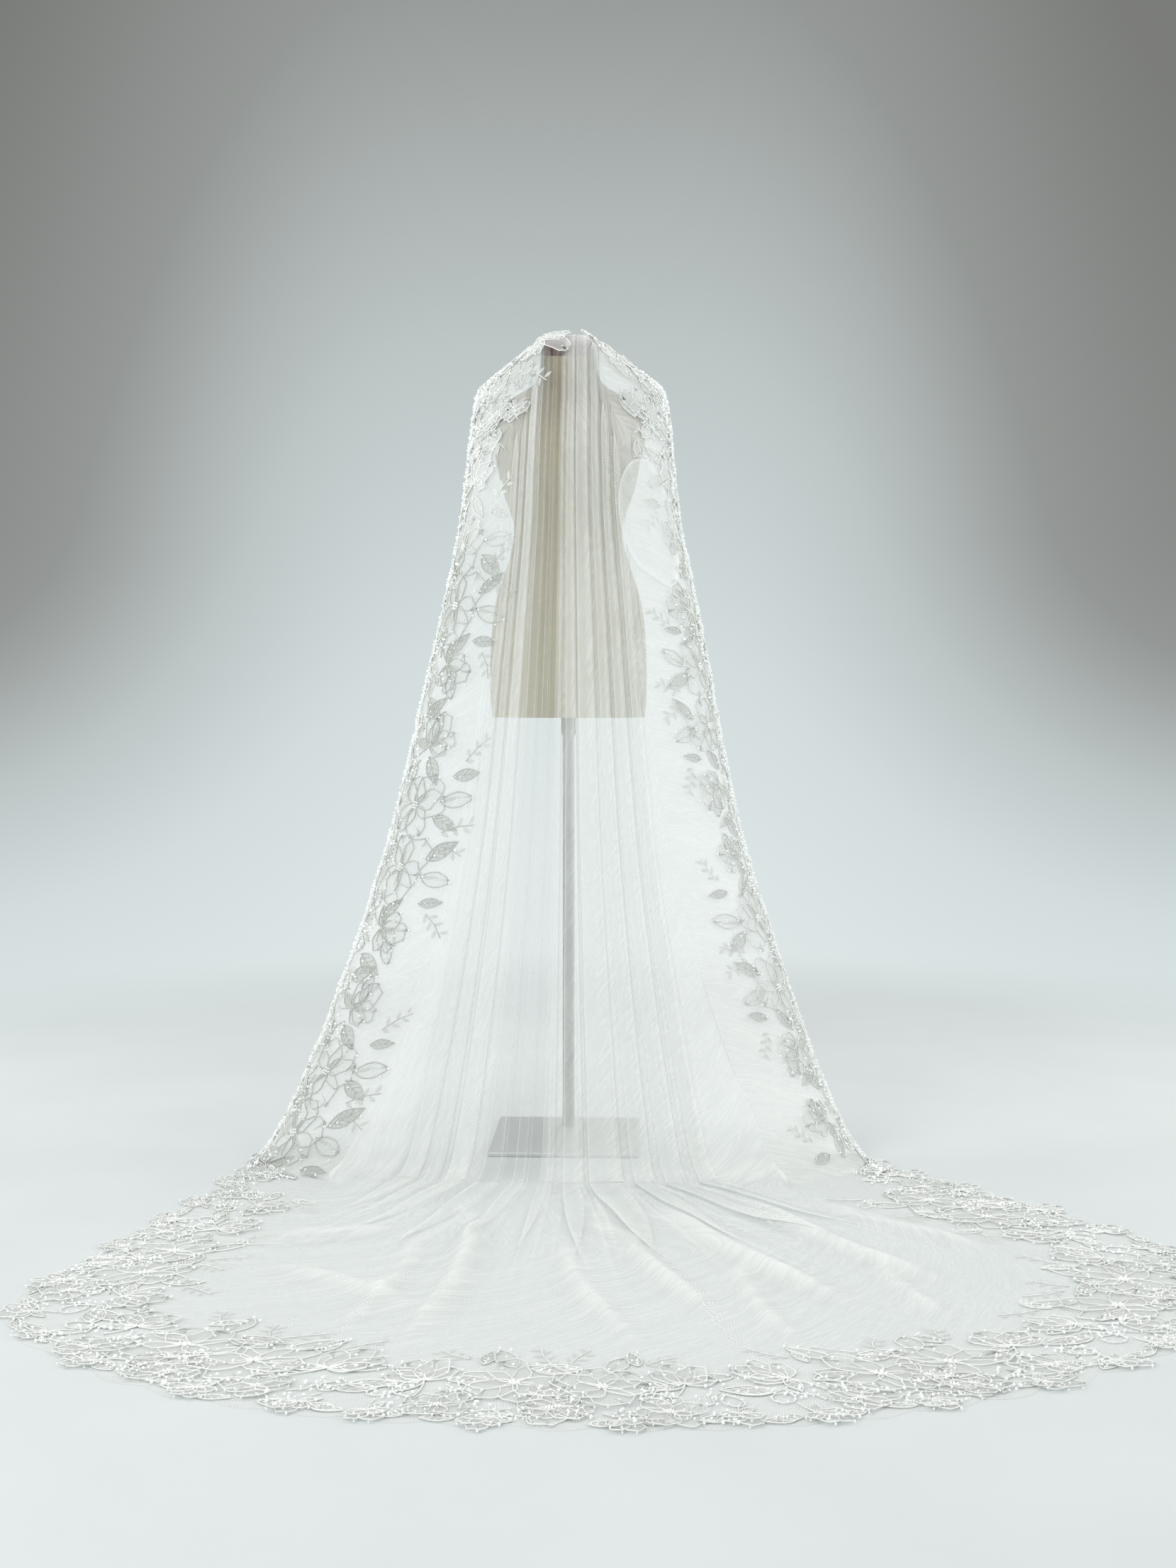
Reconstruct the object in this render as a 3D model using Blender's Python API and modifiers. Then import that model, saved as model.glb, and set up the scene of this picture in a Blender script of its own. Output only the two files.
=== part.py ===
# Bridal veil laid over a limbless dress form on a steel stand.
# Metres, +Z up. The pole stands over the origin, the floor is z = 0 and the train runs out along -Y.
# The cloth is one long panel of net that falls over the neck cap and out over the floor, with a
# wide scalloped lace border round it. Angles are degrees from the front, seen from above the pole,
# and rows run down the cloth, from its top edge behind the cap to the floor and on to the hem.

from collections import namedtuple
from math import ceil, copysign, cos, pi, radians, sin, sqrt

import bmesh
import bpy
from mathutils import Matrix, Vector

TINY = 0.0001
MERGE_DISTANCE = 0.00002

# Cloth
NET_WALL = 0.0012
LACE_WALL = 0.0013
LACE_RELIEF = 0.0012        # how far the thickest applique stands above the plain lace
SEAM_GAP = 0.0004
JOIN_GAP = 0.0006           # drawn in at each end of a border piece
SHOULDER_GAP = 0.0009       # along the panel, where the shoulder seam runs at a slant
PLAN_POWER = 2.2            # squareness of the hanging cloth seen from above
CAP_FLAT = 0.21             # share of the half width over which the cloth lies level on the cap
CAP_BLEND = 0.03

# Knife folds
FOLD_STEP = 0.0030          # height from one layer of a fold to the next
FOLD_OVERLAP = 0.8          # degrees that the top layer reaches past the one under it
FOLD_START = 14.0           # folds further out than this open out below the shoulder seam
FOLD_OPENING = 1.5          # rows that such a fold takes to close
FOLD_SPREAD = 0.55          # degrees between columns once it is opened, for each degree of its half width
FOLD_SPREAD_LEAST = 0.3
FOLD_LAYERS = (0.0, 0.8, 1.2, 2.0, 2.0)   # steps that its five columns stand up by
VALLEY_SHARE = 0.75         # where the plain net bends, on the way to the next fold
OPENING_SHARES = (0.1, 0.75)      # where the folds open out on the train, as shares of its length
FLATTENING_SHARES = (0.5, 0.95)   # where their last ridges die away
PLAIN_ANGLE = 31.0          # the net is plain from here to the side seam

# Lace border
ACROSS = 4                  # points across the border
SHOULDER_ACROSS = 2 * ACROSS - 1
SHOULDER_STRAIGHT_ROW = 5.5  # from here down every other point eases onto the side lace's coarser line
SECTION_STEP = 0.030
SCALLOP_LENGTH = 0.088
SCALLOP_DEPTH = 0.022
SHOULDER_START = 13.4       # angle where the shoulder lace begins, beside the cap
FLAP_ANGLE = 12.5           # the scallop behind the cap
FLAP_COLUMNS = 9
FLAP_ROWS = ((0.0010, -0.0009), (0.0070, -0.0150), (0.0090, -0.0300))
FLAP_END_DEPTH = 0.45       # its depth at both ends, as a share of that in the middle

# Stand
FORM_POWER = 2.3
FORM_SIDES = 24
FORM_RINGS = 30
FORM_BOTTOM = 0.843
NECK_TOP = 1.586
NECK_TILT = 15.0
CAP_RADIUS = 0.055
CAP_HEIGHT = 0.0345
CAP_POWER = 2.6
CAP_STEPS = 9
CAP_SIDES = 24
POLE_RADIUS = 0.01175
POLE_SIDES = 20
SLEEVE_RADIUS = 0.0145
SLEEVE_LENGTH = 0.036
PLATE_SIZE = 0.290
PLATE_THICKNESS = 0.008
PLATE_EDGE = 0.0015
PLATE_CENTRE_Y = -0.074
SEAT_GAP = 0.0003

# The hanging cloth, a row for each level: height and front of its middle, how far its sides reach,
# where they lie, how far the back curls round, and the angles of the side seam and of the outer edge.
BellRow = namedtuple("BellRow", "centre_z front_y left_x right_x side_y side_z back_y seam edge")
BELL = [
    BellRow(1.6000, 0.068, 0.174, 0.180, 0.066, 1.500, 0.070, 39.0, 90),
    BellRow(1.6220, 0.043, 0.178, 0.185, 0.058, 1.512, 0.080, 39.0, 92),
    BellRow(1.6256, 0.012, 0.182, 0.190, 0.050, 1.516, 0.090, 39.0, 94),
    BellRow(1.6150, -0.030, 0.186, 0.194, 0.043, 1.510, 0.095, 39.0, 96),
    BellRow(1.5890, -0.062, 0.189, 0.197, 0.037, 1.497, 0.100, 39.0, 98),
    BellRow(1.5450, -0.071, 0.192, 0.200, 0.031, 1.474, 0.110, 39.0, 100),
    BellRow(1.4900, -0.080, 0.196, 0.204, 0.025, 1.440, 0.120, 39.0, 102),
    BellRow(1.4250, -0.118, 0.201, 0.208, 0.020, 1.392, 0.130, 39.0, 104),
    BellRow(1.3500, -0.146, 0.207, 0.214, 0.014, 1.330, 0.135, 38.0, 103),
    BellRow(1.2200, -0.163, 0.222, 0.230, 0.000, 1.208, 0.120, 35.5, 102),
    BellRow(1.0300, -0.192, 0.259, 0.267, -0.020, 1.026, 0.100, 34.0, 101),
    BellRow(0.8300, -0.228, 0.300, 0.301, -0.050, 0.830, 0.070, 34.5, 100),
    BellRow(0.6200, -0.268, 0.346, 0.343, -0.085, 0.620, 0.040, 35.5, 100),
    BellRow(0.4200, -0.310, 0.405, 0.402, -0.120, 0.420, 0.005, 38.0, 100),
    BellRow(0.2400, -0.352, 0.468, 0.462, -0.155, 0.240, -0.030, 41.0, 100),
    BellRow(0.1100, -0.390, 0.520, 0.512, -0.180, 0.110, -0.055, 44.5, 100),
    BellRow(0.0350, -0.422, 0.556, 0.548, -0.195, 0.035, -0.070, 45.5, 100),
    BellRow(0.0006, -0.462, 0.585, 0.578, -0.205, 0.0006, -0.080, 46.0, 100),
]
FLOOR_ROW = len(BELL) - 1

# The train on the floor: for each angle, where the net meets its lace border and where the lace ends.
TrainRay = namedtuple("TrainRay", "angle seam_x seam_y hem_x hem_y")
TRAIN = [
    TrainRay(-46, -0.420, -0.395, -0.598, -0.345),
    TrainRay(-40, -0.430, -0.510, -0.604, -0.420),
    TrainRay(-34, -0.455, -0.640, -0.640, -0.580),
    TrainRay(-29, -0.487, -0.765, -0.682, -0.735),
    TrainRay(-25, -0.515, -0.870, -0.722, -0.880),
    TrainRay(-21, -0.525, -0.965, -0.752, -1.010),
    TrainRay(-17, -0.490, -1.055, -0.722, -1.145),
    TrainRay(-13, -0.405, -1.130, -0.600, -1.270),
    TrainRay(-9, -0.295, -1.185, -0.440, -1.365),
    TrainRay(-5, -0.165, -1.220, -0.255, -1.418),
    TrainRay(-1, -0.025, -1.240, -0.055, -1.443),
    TrainRay(3, 0.120, -1.245, 0.150, -1.450),
    TrainRay(7, 0.265, -1.235, 0.350, -1.425),
    TrainRay(11, 0.405, -1.205, 0.540, -1.370),
    TrainRay(15, 0.540, -1.155, 0.715, -1.285),
    TrainRay(19, 0.660, -1.080, 0.865, -1.175),
    TrainRay(23, 0.755, -0.985, 0.975, -1.045),
    TrainRay(27, 0.800, -0.880, 1.025, -0.895),
    TrainRay(31, 0.780, -0.775, 0.995, -0.740),
    TrainRay(35, 0.700, -0.665, 0.890, -0.580),
    TrainRay(39, 0.595, -0.555, 0.765, -0.435),
    TrainRay(43, 0.500, -0.465, 0.665, -0.330),
    TrainRay(46, 0.416, -0.395, 0.630, -0.305),
]
TRAIN_CORNER = 46.0
HEM_LEFT_END = -18.0        # angles where the lace of the train is joined
HEM_RIGHT_START = 18.5

# Knife folds, from left to right: angle of the middle and half the width, in degrees.
Pleat = namedtuple("Pleat", "centre half")
PLEATS = [
    Pleat(-28.2, 1.5), Pleat(-23.6, 0.9), Pleat(-18.8, 1.5), Pleat(-12.3, 1.6), Pleat(-6.9, 0.9),
    Pleat(-2.2, 0.7), Pleat(2.6, 1.4), Pleat(8.6, 2.6), Pleat(15.6, 1.5), Pleat(21.4, 1.6),
    Pleat(27.8, 1.4),
]

# Where the net begins under the shoulder lace: angle from the middle, and row.
SHOULDER_LINE = ((14.0, 0.0), (16.0, 1.3), (18.0, 2.8), (22.0, 5.0), (27.0, 6.3), (39.0, 7.0))

# Rows of the net. Those above SQUEEZE_ROW close up towards the shoulder line, and the last part of
# the hanging net lies on the floor, where the train takes over.
SQUEEZE_ROW = 9.0
DROP_ROWS = (0, 1, 1.5, 2, 2.5, 3, 3.5, 4, 4.8, 5.8, 7, 8, 9, 10.3, 11.6, 13, 14.2, 15.2, 16.2, 17)
TRAIN_SHARES = (0, 0.14, 0.36, 0.58, 0.78, 1)
LANDING = 0.020             # how far the hanging net reaches over the floor
LANDING_MOST = 0.5          # as a share of the way to the lace
FLOOR_GAP = 0.0008          # between it and the train, whose folds turn there
SIDE_SHARES = (1.0, 0.93, 0.66, 0.33)    # plain columns, as shares of the way to the side seam
CORNER_SHARE = 0.93                      # the last of them that the train has

# Sections of the form: height, half width, front and back depth, forward tilt in degrees.
Section = namedtuple("Section", "z half front back tilt")
FORM = [
    Section(FORM_BOTTOM, 0.156, 0.108, 0.118, 0),
    Section(0.900, 0.160, 0.112, 0.124, 0),
    Section(1.000, 0.158, 0.108, 0.120, 0),
    Section(1.080, 0.148, 0.102, 0.106, 0),
    Section(1.150, 0.126, 0.096, 0.088, 0),
    Section(1.214, 0.110, 0.092, 0.080, 0),
    Section(1.260, 0.118, 0.104, 0.084, 0),
    Section(1.310, 0.136, 0.122, 0.094, 0),
    Section(1.360, 0.146, 0.126, 0.102, 0),
    Section(1.410, 0.157, 0.106, 0.108, 0),
    Section(1.450, 0.170, 0.080, 0.104, 0),
    Section(1.475, 0.146, 0.066, 0.094, 0),
    Section(1.500, 0.106, 0.059, 0.078, 0),
    Section(1.520, 0.075, 0.056, 0.064, 5),
    Section(1.545, 0.060, 0.054, 0.056, 10),
    Section(NECK_TOP, 0.056, 0.056, 0.056, NECK_TILT),
]


def smooth(values, place):
    """Catmull-Rom value of an evenly spaced list at a fractional place in it."""
    first = min(max(int(place), 0), len(values) - 2)
    before, start, end, after = (values[min(max(first + k, 0), len(values) - 1)] for k in (-1, 0, 1, 2))
    t = place - first
    bend = 2 * before - 5 * start + 4 * end - after
    twist = 3 * start - before - 3 * end + after
    return 0.5 * (2 * start + (end - before) * t + bend * t * t + twist * t ** 3)


def ramp(value, start, end):
    """0 before start, 1 after end, and an even rise between them."""
    return min(max((value - start) / (end - start), 0.0), 1.0)


def ease(share):
    return share * share * (3 - 2 * share)


def along(pairs, value):
    """Straight-line reading of a short table of (value, result) pairs."""
    for (low, first), (high, second) in zip(pairs, pairs[1:]):
        if value <= high:
            return first + (second - first) * ramp(value, low, high)
    return pairs[-1][1]


BELL_COLUMNS = {name: [getattr(row, name) for row in BELL] for name in BellRow._fields}


def bell_value(name, row):
    return smooth(BELL_COLUMNS[name], min(row, FLOOR_ROW))


def hanging(angle, row):
    """Point in the middle of the hanging wall."""
    side = sin(radians(angle))
    reach = min(abs(side), 1.0)
    left, right = bell_value("left_x", row), bell_value("right_x", row)
    half = (left + right) / 2 + (right - left) / 2 * side
    side_y = bell_value("side_y", row)
    far_y = bell_value("front_y" if abs(angle) <= 90 else "back_y", row)
    past = reach - CAP_FLAT
    fall = (past + sqrt(past * past + CAP_BLEND ** 2)) / 2 / (1 - CAP_FLAT)
    fall = 1.0 if abs(angle) > 90 else min(fall, 1.0)
    centre_z = bell_value("centre_z", row)
    return Vector((
        half * side,
        side_y + (far_y - side_y) * (1 - reach ** PLAN_POWER) ** (1 / PLAN_POWER),
        centre_z + (bell_value("side_z", row) - centre_z) * fall,
    ))


def with_corners(rays):
    """The rays with both end ones starting where the side seams land on the floor."""
    made = list(rays)
    for end in (0, -1):
        corner = hanging(made[end].angle, FLOOR_ROW)
        made[end] = made[end]._replace(seam_x=corner.x, seam_y=corner.y)
    return made


TRAIN_COLUMNS = {name: [getattr(ray, name) for ray in with_corners(TRAIN)] for name in TrainRay._fields}
TRAIN_PLACES = [(ray.angle, place) for place, ray in enumerate(TRAIN)]


def floor_point(angle, share_to_seam, share_to_hem=0.0):
    """Point on the floor: from where the cloth lands to the lace seam, then on to the hem."""
    if share_to_seam < 1:
        landing = hanging(angle, FLOOR_ROW)
    place = along(TRAIN_PLACES, angle)
    seam_x, seam_y, hem_x, hem_y = (smooth(TRAIN_COLUMNS[name], place) for name in TrainRay._fields[1:])
    seam = Vector((seam_x, seam_y, NET_WALL / 2))
    hem = Vector((hem_x, hem_y, NET_WALL / 2))
    if share_to_seam < 1:
        return landing.lerp(seam, share_to_seam)
    return seam.lerp(hem, share_to_hem)


def drape(angle, row):
    """Point in the middle of the plain net, hanging or on the floor."""
    return hanging(angle, row) if row <= FLOOR_ROW else floor_point(angle, min(row - FLOOR_ROW, 0.9999))


def outward(angle, row):
    """Unit vector out of the plain net, away from the form or up from the floor."""
    across = drape(angle + 0.5, row) - drape(angle - 0.5, row)
    down = drape(angle, row + 0.1) - drape(angle, row - 0.1)
    return down.cross(across).normalized()


# A column of the net: its angle when folded and when opened out, the layers that it is lifted by,
# the row where it begins, the folds that it belongs to, and its share of the way to the side seam.
Column = namedtuple("Column", "folded flat layers top folds seam_share")


def fold_spread(pleat):
    """Degrees from one column of a fold to the next, once it is opened out."""
    return FOLD_SPREAD * pleat.half + FOLD_SPREAD_LEAST


def fold_top(pleat):
    """The row where a fold starts to close: the top edge for one on the cap, else below its net's edge."""
    if abs(pleat.centre) < FOLD_START:
        return 0.0
    return along(SHOULDER_LINE, abs(pleat.centre) + 2 * fold_spread(pleat))


def fold_columns(pleat):
    """The five columns of one knife fold: under layer, turned back layer, top layer."""
    right, left = pleat.centre + pleat.half, pleat.centre - pleat.half
    columns = []
    for place, folded in enumerate((right, right, left, left, right + FOLD_OVERLAP)):
        flat = pleat.centre + (place - 2) * fold_spread(pleat)
        top = along(SHOULDER_LINE, abs(flat)) if abs(pleat.centre) > FOLD_START else 0.0
        columns.append(Column(folded, flat, FOLD_LAYERS[place], top, (pleat,), 0.0))
    return columns


def net_columns():
    """All the columns of the net from the left seam to the right one."""
    reach = bell_value("seam", 0) - PLAIN_ANGLE
    left = [Column(0, 0, 0, along(SHOULDER_LINE, PLAIN_ANGLE + reach * s), (), -s) for s in SIDE_SHARES]
    columns = list(left)
    for pleat, following in zip(PLEATS, PLEATS[1:] + [None]):
        fold = fold_columns(pleat)
        columns += fold
        if following:
            end, start = fold[-1], fold_columns(following)[0]
            valley = end.folded + VALLEY_SHARE * (following.centre - following.half - end.folded)
            flat = (end.flat + start.flat) / 2
            top = along(SHOULDER_LINE, abs(flat))
            columns.append(Column(valley, flat, 0.0, top, (pleat, following), 0.0))
    return columns + [column._replace(seam_share=-column.seam_share) for column in reversed(left)]


def fold_strength(pleat, row):
    """How far one fold is closed at a row of the cloth: 1 on its way down, 0 out on the train."""
    opening = 1 - ease(ramp(row - FLOOR_ROW, *OPENING_SHARES))
    if abs(pleat.centre) > FOLD_START:
        opening *= ease(ramp(row, fold_top(pleat), fold_top(pleat) + FOLD_OPENING))
    return opening


def column_row(column, row):
    """The true row of a net column, with the upper rows closed up to the shoulder line."""
    if row >= SQUEEZE_ROW:
        return row
    return column.top + (SQUEEZE_ROW - column.top) * row / SQUEEZE_ROW


def column_angle(column, row):
    if column.seam_share:
        reach = abs(column.seam_share) * (bell_value("seam", row) - PLAIN_ANGLE)
        return copysign(PLAIN_ANGLE + reach, column.seam_share)
    closing = sum(fold_strength(fold, row) for fold in column.folds) / len(column.folds)
    return column.flat + (column.folded - column.flat) * closing


def landing_share(column, gap):
    """Share of the way to the hem seam where a column passes from the hanging net to the train."""
    angle = column_angle(column, FLOOR_ROW)
    length = max((floor_point(angle, 1.0) - floor_point(angle, 0.0)).length, TINY)
    return min(LANDING / length, LANDING_MOST) + gap / length


def net_point(column, row):
    """Point in the middle of the folded net at a true row of the cloth."""
    angle = column_angle(column, row)
    point = drape(angle, row)
    if column.layers:
        height = 1 - ease(ramp(row - FLOOR_ROW, *FLATTENING_SHARES))
        if abs(column.folds[0].centre) > FOLD_START:
            top = fold_top(column.folds[0])
            height *= ease(ramp(row, top, top + FOLD_OPENING))
        point += outward(angle, row) * column.layers * FOLD_STEP * height
    return point


def material(name, colour, roughness, metallic=0.0):
    made = bpy.data.materials.new(name)
    made.use_nodes = True
    shader = made.node_tree.nodes["Principled BSDF"]
    shader.inputs["Base Color"].default_value = (*colour, 1.0)
    shader.inputs["Roughness"].default_value = roughness
    shader.inputs["Metallic"].default_value = metallic
    return made


def add_object(name, shape, finish, collection):
    """Turn a bmesh into an object in the veil's collection."""
    mesh = bpy.data.meshes.new(name)
    shape.to_mesh(mesh)
    shape.free()
    mesh.materials.append(finish)
    mesh.shade_smooth()
    made = bpy.data.objects.new(name, mesh)
    collection.objects.link(made)
    return made


def grid_sheet(columns):
    """An open surface through a list of columns of points, left to right and top to bottom."""
    wide, tall = len(columns) - 1, len(columns[0]) - 1
    shape = bmesh.new()
    bmesh.ops.create_grid(shape, x_segments=wide, y_segments=tall, size=0.5)
    for vertex in shape.verts:
        column = round((vertex.co.x + 0.5) * wide)
        row = round((0.5 - vertex.co.y) * tall)
        vertex.co = columns[column][row]
    bmesh.ops.remove_doubles(shape, verts=shape.verts, dist=MERGE_DISTANCE)
    return shape


def add_wall(made, thickness, offset, relief=0.0):
    """Give an open surface its thickness. With relief, the group of that name raises its outside."""
    solid = made.modifiers.new("wall", "SOLIDIFY")
    solid.thickness = thickness + relief
    solid.offset = offset
    solid.use_rim = True
    if relief:
        solid.vertex_group = "relief"
        solid.thickness_vertex_group = thickness / (thickness + relief)


def make_hanging_net(columns, finish, collection):
    points = []
    for column in columns:
        rows = [column_row(column, row) for row in DROP_ROWS]
        if abs(column.seam_share) < 1:
            rows.append(FLOOR_ROW + landing_share(column, 0.0))
        points.append([net_point(column, row) for row in rows])
        points[-1] += points[-1][-1:] * (len(DROP_ROWS) + 1 - len(rows))
    made = add_object("tulle_drop", grid_sheet(points), finish, collection)
    add_wall(made, NET_WALL, 0.0)


def make_train_net(columns, finish, collection):
    points = []
    for column in columns:
        start = landing_share(column, FLOOR_GAP)
        points.append([net_point(column, FLOOR_ROW + start + (1 - start) * share) for share in TRAIN_SHARES])
    made = add_object("tulle_train", grid_sheet(points), finish, collection)
    add_wall(made, NET_WALL, 0.0)


def divided(sections, step):
    """Sections with straight ones put between them wherever the outer edge has a long way to go."""
    made = [sections[0]]
    for start, end in zip(sections, sections[1:]):
        pieces = max(1, ceil((end[-1] - start[-1]).length / step))
        for piece in range(1, pieces + 1):
            made.append([a.lerp(b, piece / pieces) for a, b in zip(start, end)])
    return made


def scallop_phases(sections):
    """Place of each section along its scallop, 0 and 1 at the notches."""
    travelled = [0.0]
    for start, end in zip(sections, sections[1:]):
        travelled.append(travelled[-1] + (end[-1] - start[-1]).length)
    notches = [0]
    for place, distance in enumerate(travelled):
        if distance - travelled[notches[-1]] >= SCALLOP_LENGTH:
            notches.append(place)
    notches[-1 if len(notches) > 1 else len(notches):] = [len(sections) - 1]
    phases = [0.0] * len(sections)
    for start, end in zip(notches, notches[1:]):
        length = max(travelled[end] - travelled[start], TINY)
        for place in range(start, end + 1):
            phases[place] = (travelled[place] - travelled[start]) / length
    return phases


def make_lace(name, sections, finish, collection, flip):
    """A lace wall through sections that run from the seam to the outer edge, which is scalloped.

    Its inside is plain and the applique is raised on its outside."""
    phases = scallop_phases(sections)
    columns = []
    for section, phase in zip(sections, phases):
        points = [point.copy() for point in section]
        outer = (points[-1] - points[-2]).normalized()
        points[-1] += outer * SCALLOP_DEPTH * sin(pi * phase)
        columns.append(points)
    shares = [place / (len(sections[0]) - 1) for place in range(len(sections[0]))]
    weights = [[sin(pi * share) ** 2 * sin(pi * phase) for share in shares] for phase in phases]
    if flip:
        columns, weights = columns[::-1], weights[::-1]
    shape = grid_sheet(columns)
    made = add_object(name, shape, finish, collection)
    group = made.vertex_groups.new(name="relief")
    places = [(point, weight) for row in zip(columns, weights) for point, weight in zip(*row)]
    for vertex in made.data.vertices:
        nearest = min(places, key=lambda place: (place[0] - vertex.co).length_squared)
        group.add([vertex.index], nearest[1], "REPLACE")
    add_wall(made, LACE_WALL, 1.0, LACE_RELIEF)
    return made


def inner_side(angle, row):
    """Point on the inside face of the cloth, which lace walls start from."""
    return drape(angle, row) - outward(angle, row) * NET_WALL / 2


def clear_of_seam(points, gap):
    """A section whose first point is moved off the seam, towards the next one."""
    return [points[0] + (points[1] - points[0]).normalized() * gap] + points[1:]


def side_section(start, row, side, count):
    """Across the hanging border at one row, from a start angle out to the edge."""
    end = bell_value("edge", row)
    turns = [start + (end - start) * place / (count - 1) for place in range(count)]
    return [inner_side(side * turn, row) for turn in turns]


def draw_in(sections, end, following, gap):
    """Shorten a border piece a little at one end, clear of the piece that it is joined to."""
    moved = []
    for point, towards in zip(sections[end], sections[following]):
        moved.append(point + (towards - point).normalized() * gap)
    sections[end] = moved


def train_section(angle):
    """Across the border of the train at one angle, flat on the floor."""
    flat = [floor_point(angle, 1.0, place / (ACROSS - 1)) for place in range(ACROSS)]
    return [Vector((point.x, point.y, 0.0)) for point in flat]


def make_side_lace(name, column, finish, collection):
    """The border that hangs down one side, with the wedge where it lands and turns along the train."""
    side = column.seam_share
    rows = [column_row(column, row) for row in DROP_ROWS]
    sections = [side_section(bell_value("seam", row), row, side, ACROSS) for row in rows]
    sections = [clear_of_seam(section, SEAM_GAP) for section in sections]
    landed = train_section(side * TRAIN_CORNER)
    landed[0] = sections[-1][0]
    sections = divided(sections + [landed], SECTION_STEP)
    return make_lace(name, sections, finish, collection, side > 0)


def make_train_lace(name, angles, finish, collection):
    sections = [clear_of_seam(train_section(angle), SEAM_GAP) for angle in angles]
    draw_in(sections, 0, 1, JOIN_GAP)
    draw_in(sections, -1, -2, JOIN_GAP)
    return make_lace(name, divided(sections, SECTION_STEP), finish, collection, False)


def make_shoulder_lace(name, columns, finish, collection):
    """The lace over one shoulder, above the net's slanting edge, from beside the cap out to the tip."""
    side = columns[-1].seam_share
    sections = [side_section(SHOULDER_START, 0.0, side, SHOULDER_ACROSS)]
    for column in columns:
        angle = abs(column_angle(column, column.top))
        section = side_section(angle, column.top, side, SHOULDER_ACROSS)
        straight = ramp(column.top, SHOULDER_STRAIGHT_ROW, columns[-1].top)
        for place in range(1, SHOULDER_ACROSS, 2):
            middle = (section[place - 1] + section[place + 1]) / 2
            section[place] = section[place].lerp(middle, straight)
        sections.append(clear_of_seam(section, SHOULDER_GAP))
    draw_in(sections, -1, -2, SHOULDER_GAP)
    return make_lace(name, sections, finish, collection, side > 0)


def make_cap_lace(name, finish, collection):
    """The scallop of lace that hangs behind the cap from the top edge of the net."""
    columns = []
    for place in range(FLAP_COLUMNS):
        angle = FLAP_ANGLE * (1 - 2 * place / (FLAP_COLUMNS - 1))
        edge = inner_side(angle, 0)
        depth = FLAP_END_DEPTH + (1 - FLAP_END_DEPTH) * cos(radians(angle) * 90 / FLAP_ANGLE)
        columns.append([edge + Vector((0, back, down * depth)) for back, down in FLAP_ROWS])
    made = add_object(name, grid_sheet(columns), finish, collection)
    add_wall(made, LACE_WALL, 1.0)
    return made


def form_point(height_place, turn):
    values = [smooth([getattr(section, name) for section in FORM], height_place) for name in Section._fields]
    section = Section(*values)
    across, deep = cos(turn), sin(turn)
    depth = section.back if deep > 0 else section.front
    flat = Vector((
        section.half * copysign(abs(across) ** (2 / FORM_POWER), across),
        depth * copysign(abs(deep) ** (2 / FORM_POWER), deep),
        0.0,
    ))
    return Matrix.Rotation(radians(section.tilt), 3, "X") @ flat + Vector((0, 0, section.z))


def make_torso(finish, collection):
    columns = []
    for side in range(FORM_SIDES + 1):
        turn = 2 * pi * (side % FORM_SIDES) / FORM_SIDES
        places = [(len(FORM) - 1) * (1 - ring / FORM_RINGS) for ring in range(FORM_RINGS + 1)]
        columns.append([form_point(place, turn) for place in places])
    shape = grid_sheet(columns)
    bmesh.ops.holes_fill(shape, edges=shape.edges, sides=0)
    bmesh.ops.recalc_face_normals(shape, faces=shape.faces)
    made = add_object("torso", shape, finish, collection)
    made.data.set_sharp_from_angle(angle=radians(50))
    return made


def make_neck_cap(finish, collection):
    """A turned wooden dome on the tilted top of the neck."""
    profile = [(0.0, CAP_HEIGHT)]
    for step in range(1, CAP_STEPS + 1):
        turn = pi / 2 * step / CAP_STEPS
        radius, height = sin(turn) ** (2 / CAP_POWER), max(cos(turn), 0.0) ** (2 / CAP_POWER)
        profile.append((CAP_RADIUS * radius, CAP_HEIGHT * height))
    profile.append((0.0, 0.0))
    shape = bmesh.new()
    points = [shape.verts.new((radius, 0, height)) for radius, height in profile]
    for start, end in zip(points, points[1:]):
        shape.edges.new((start, end))
    made = add_object("neck_cap", shape, finish, collection)
    turned = made.modifiers.new("turned", "SCREW")
    turned.steps = turned.render_steps = CAP_SIDES
    turned.use_merge_vertices = True
    turned.merge_threshold = MERGE_DISTANCE
    made.rotation_euler = (radians(NECK_TILT), 0, 0)
    made.location = (0, -SEAT_GAP * sin(radians(NECK_TILT)), NECK_TOP + SEAT_GAP * cos(radians(NECK_TILT)))
    return made


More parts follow.
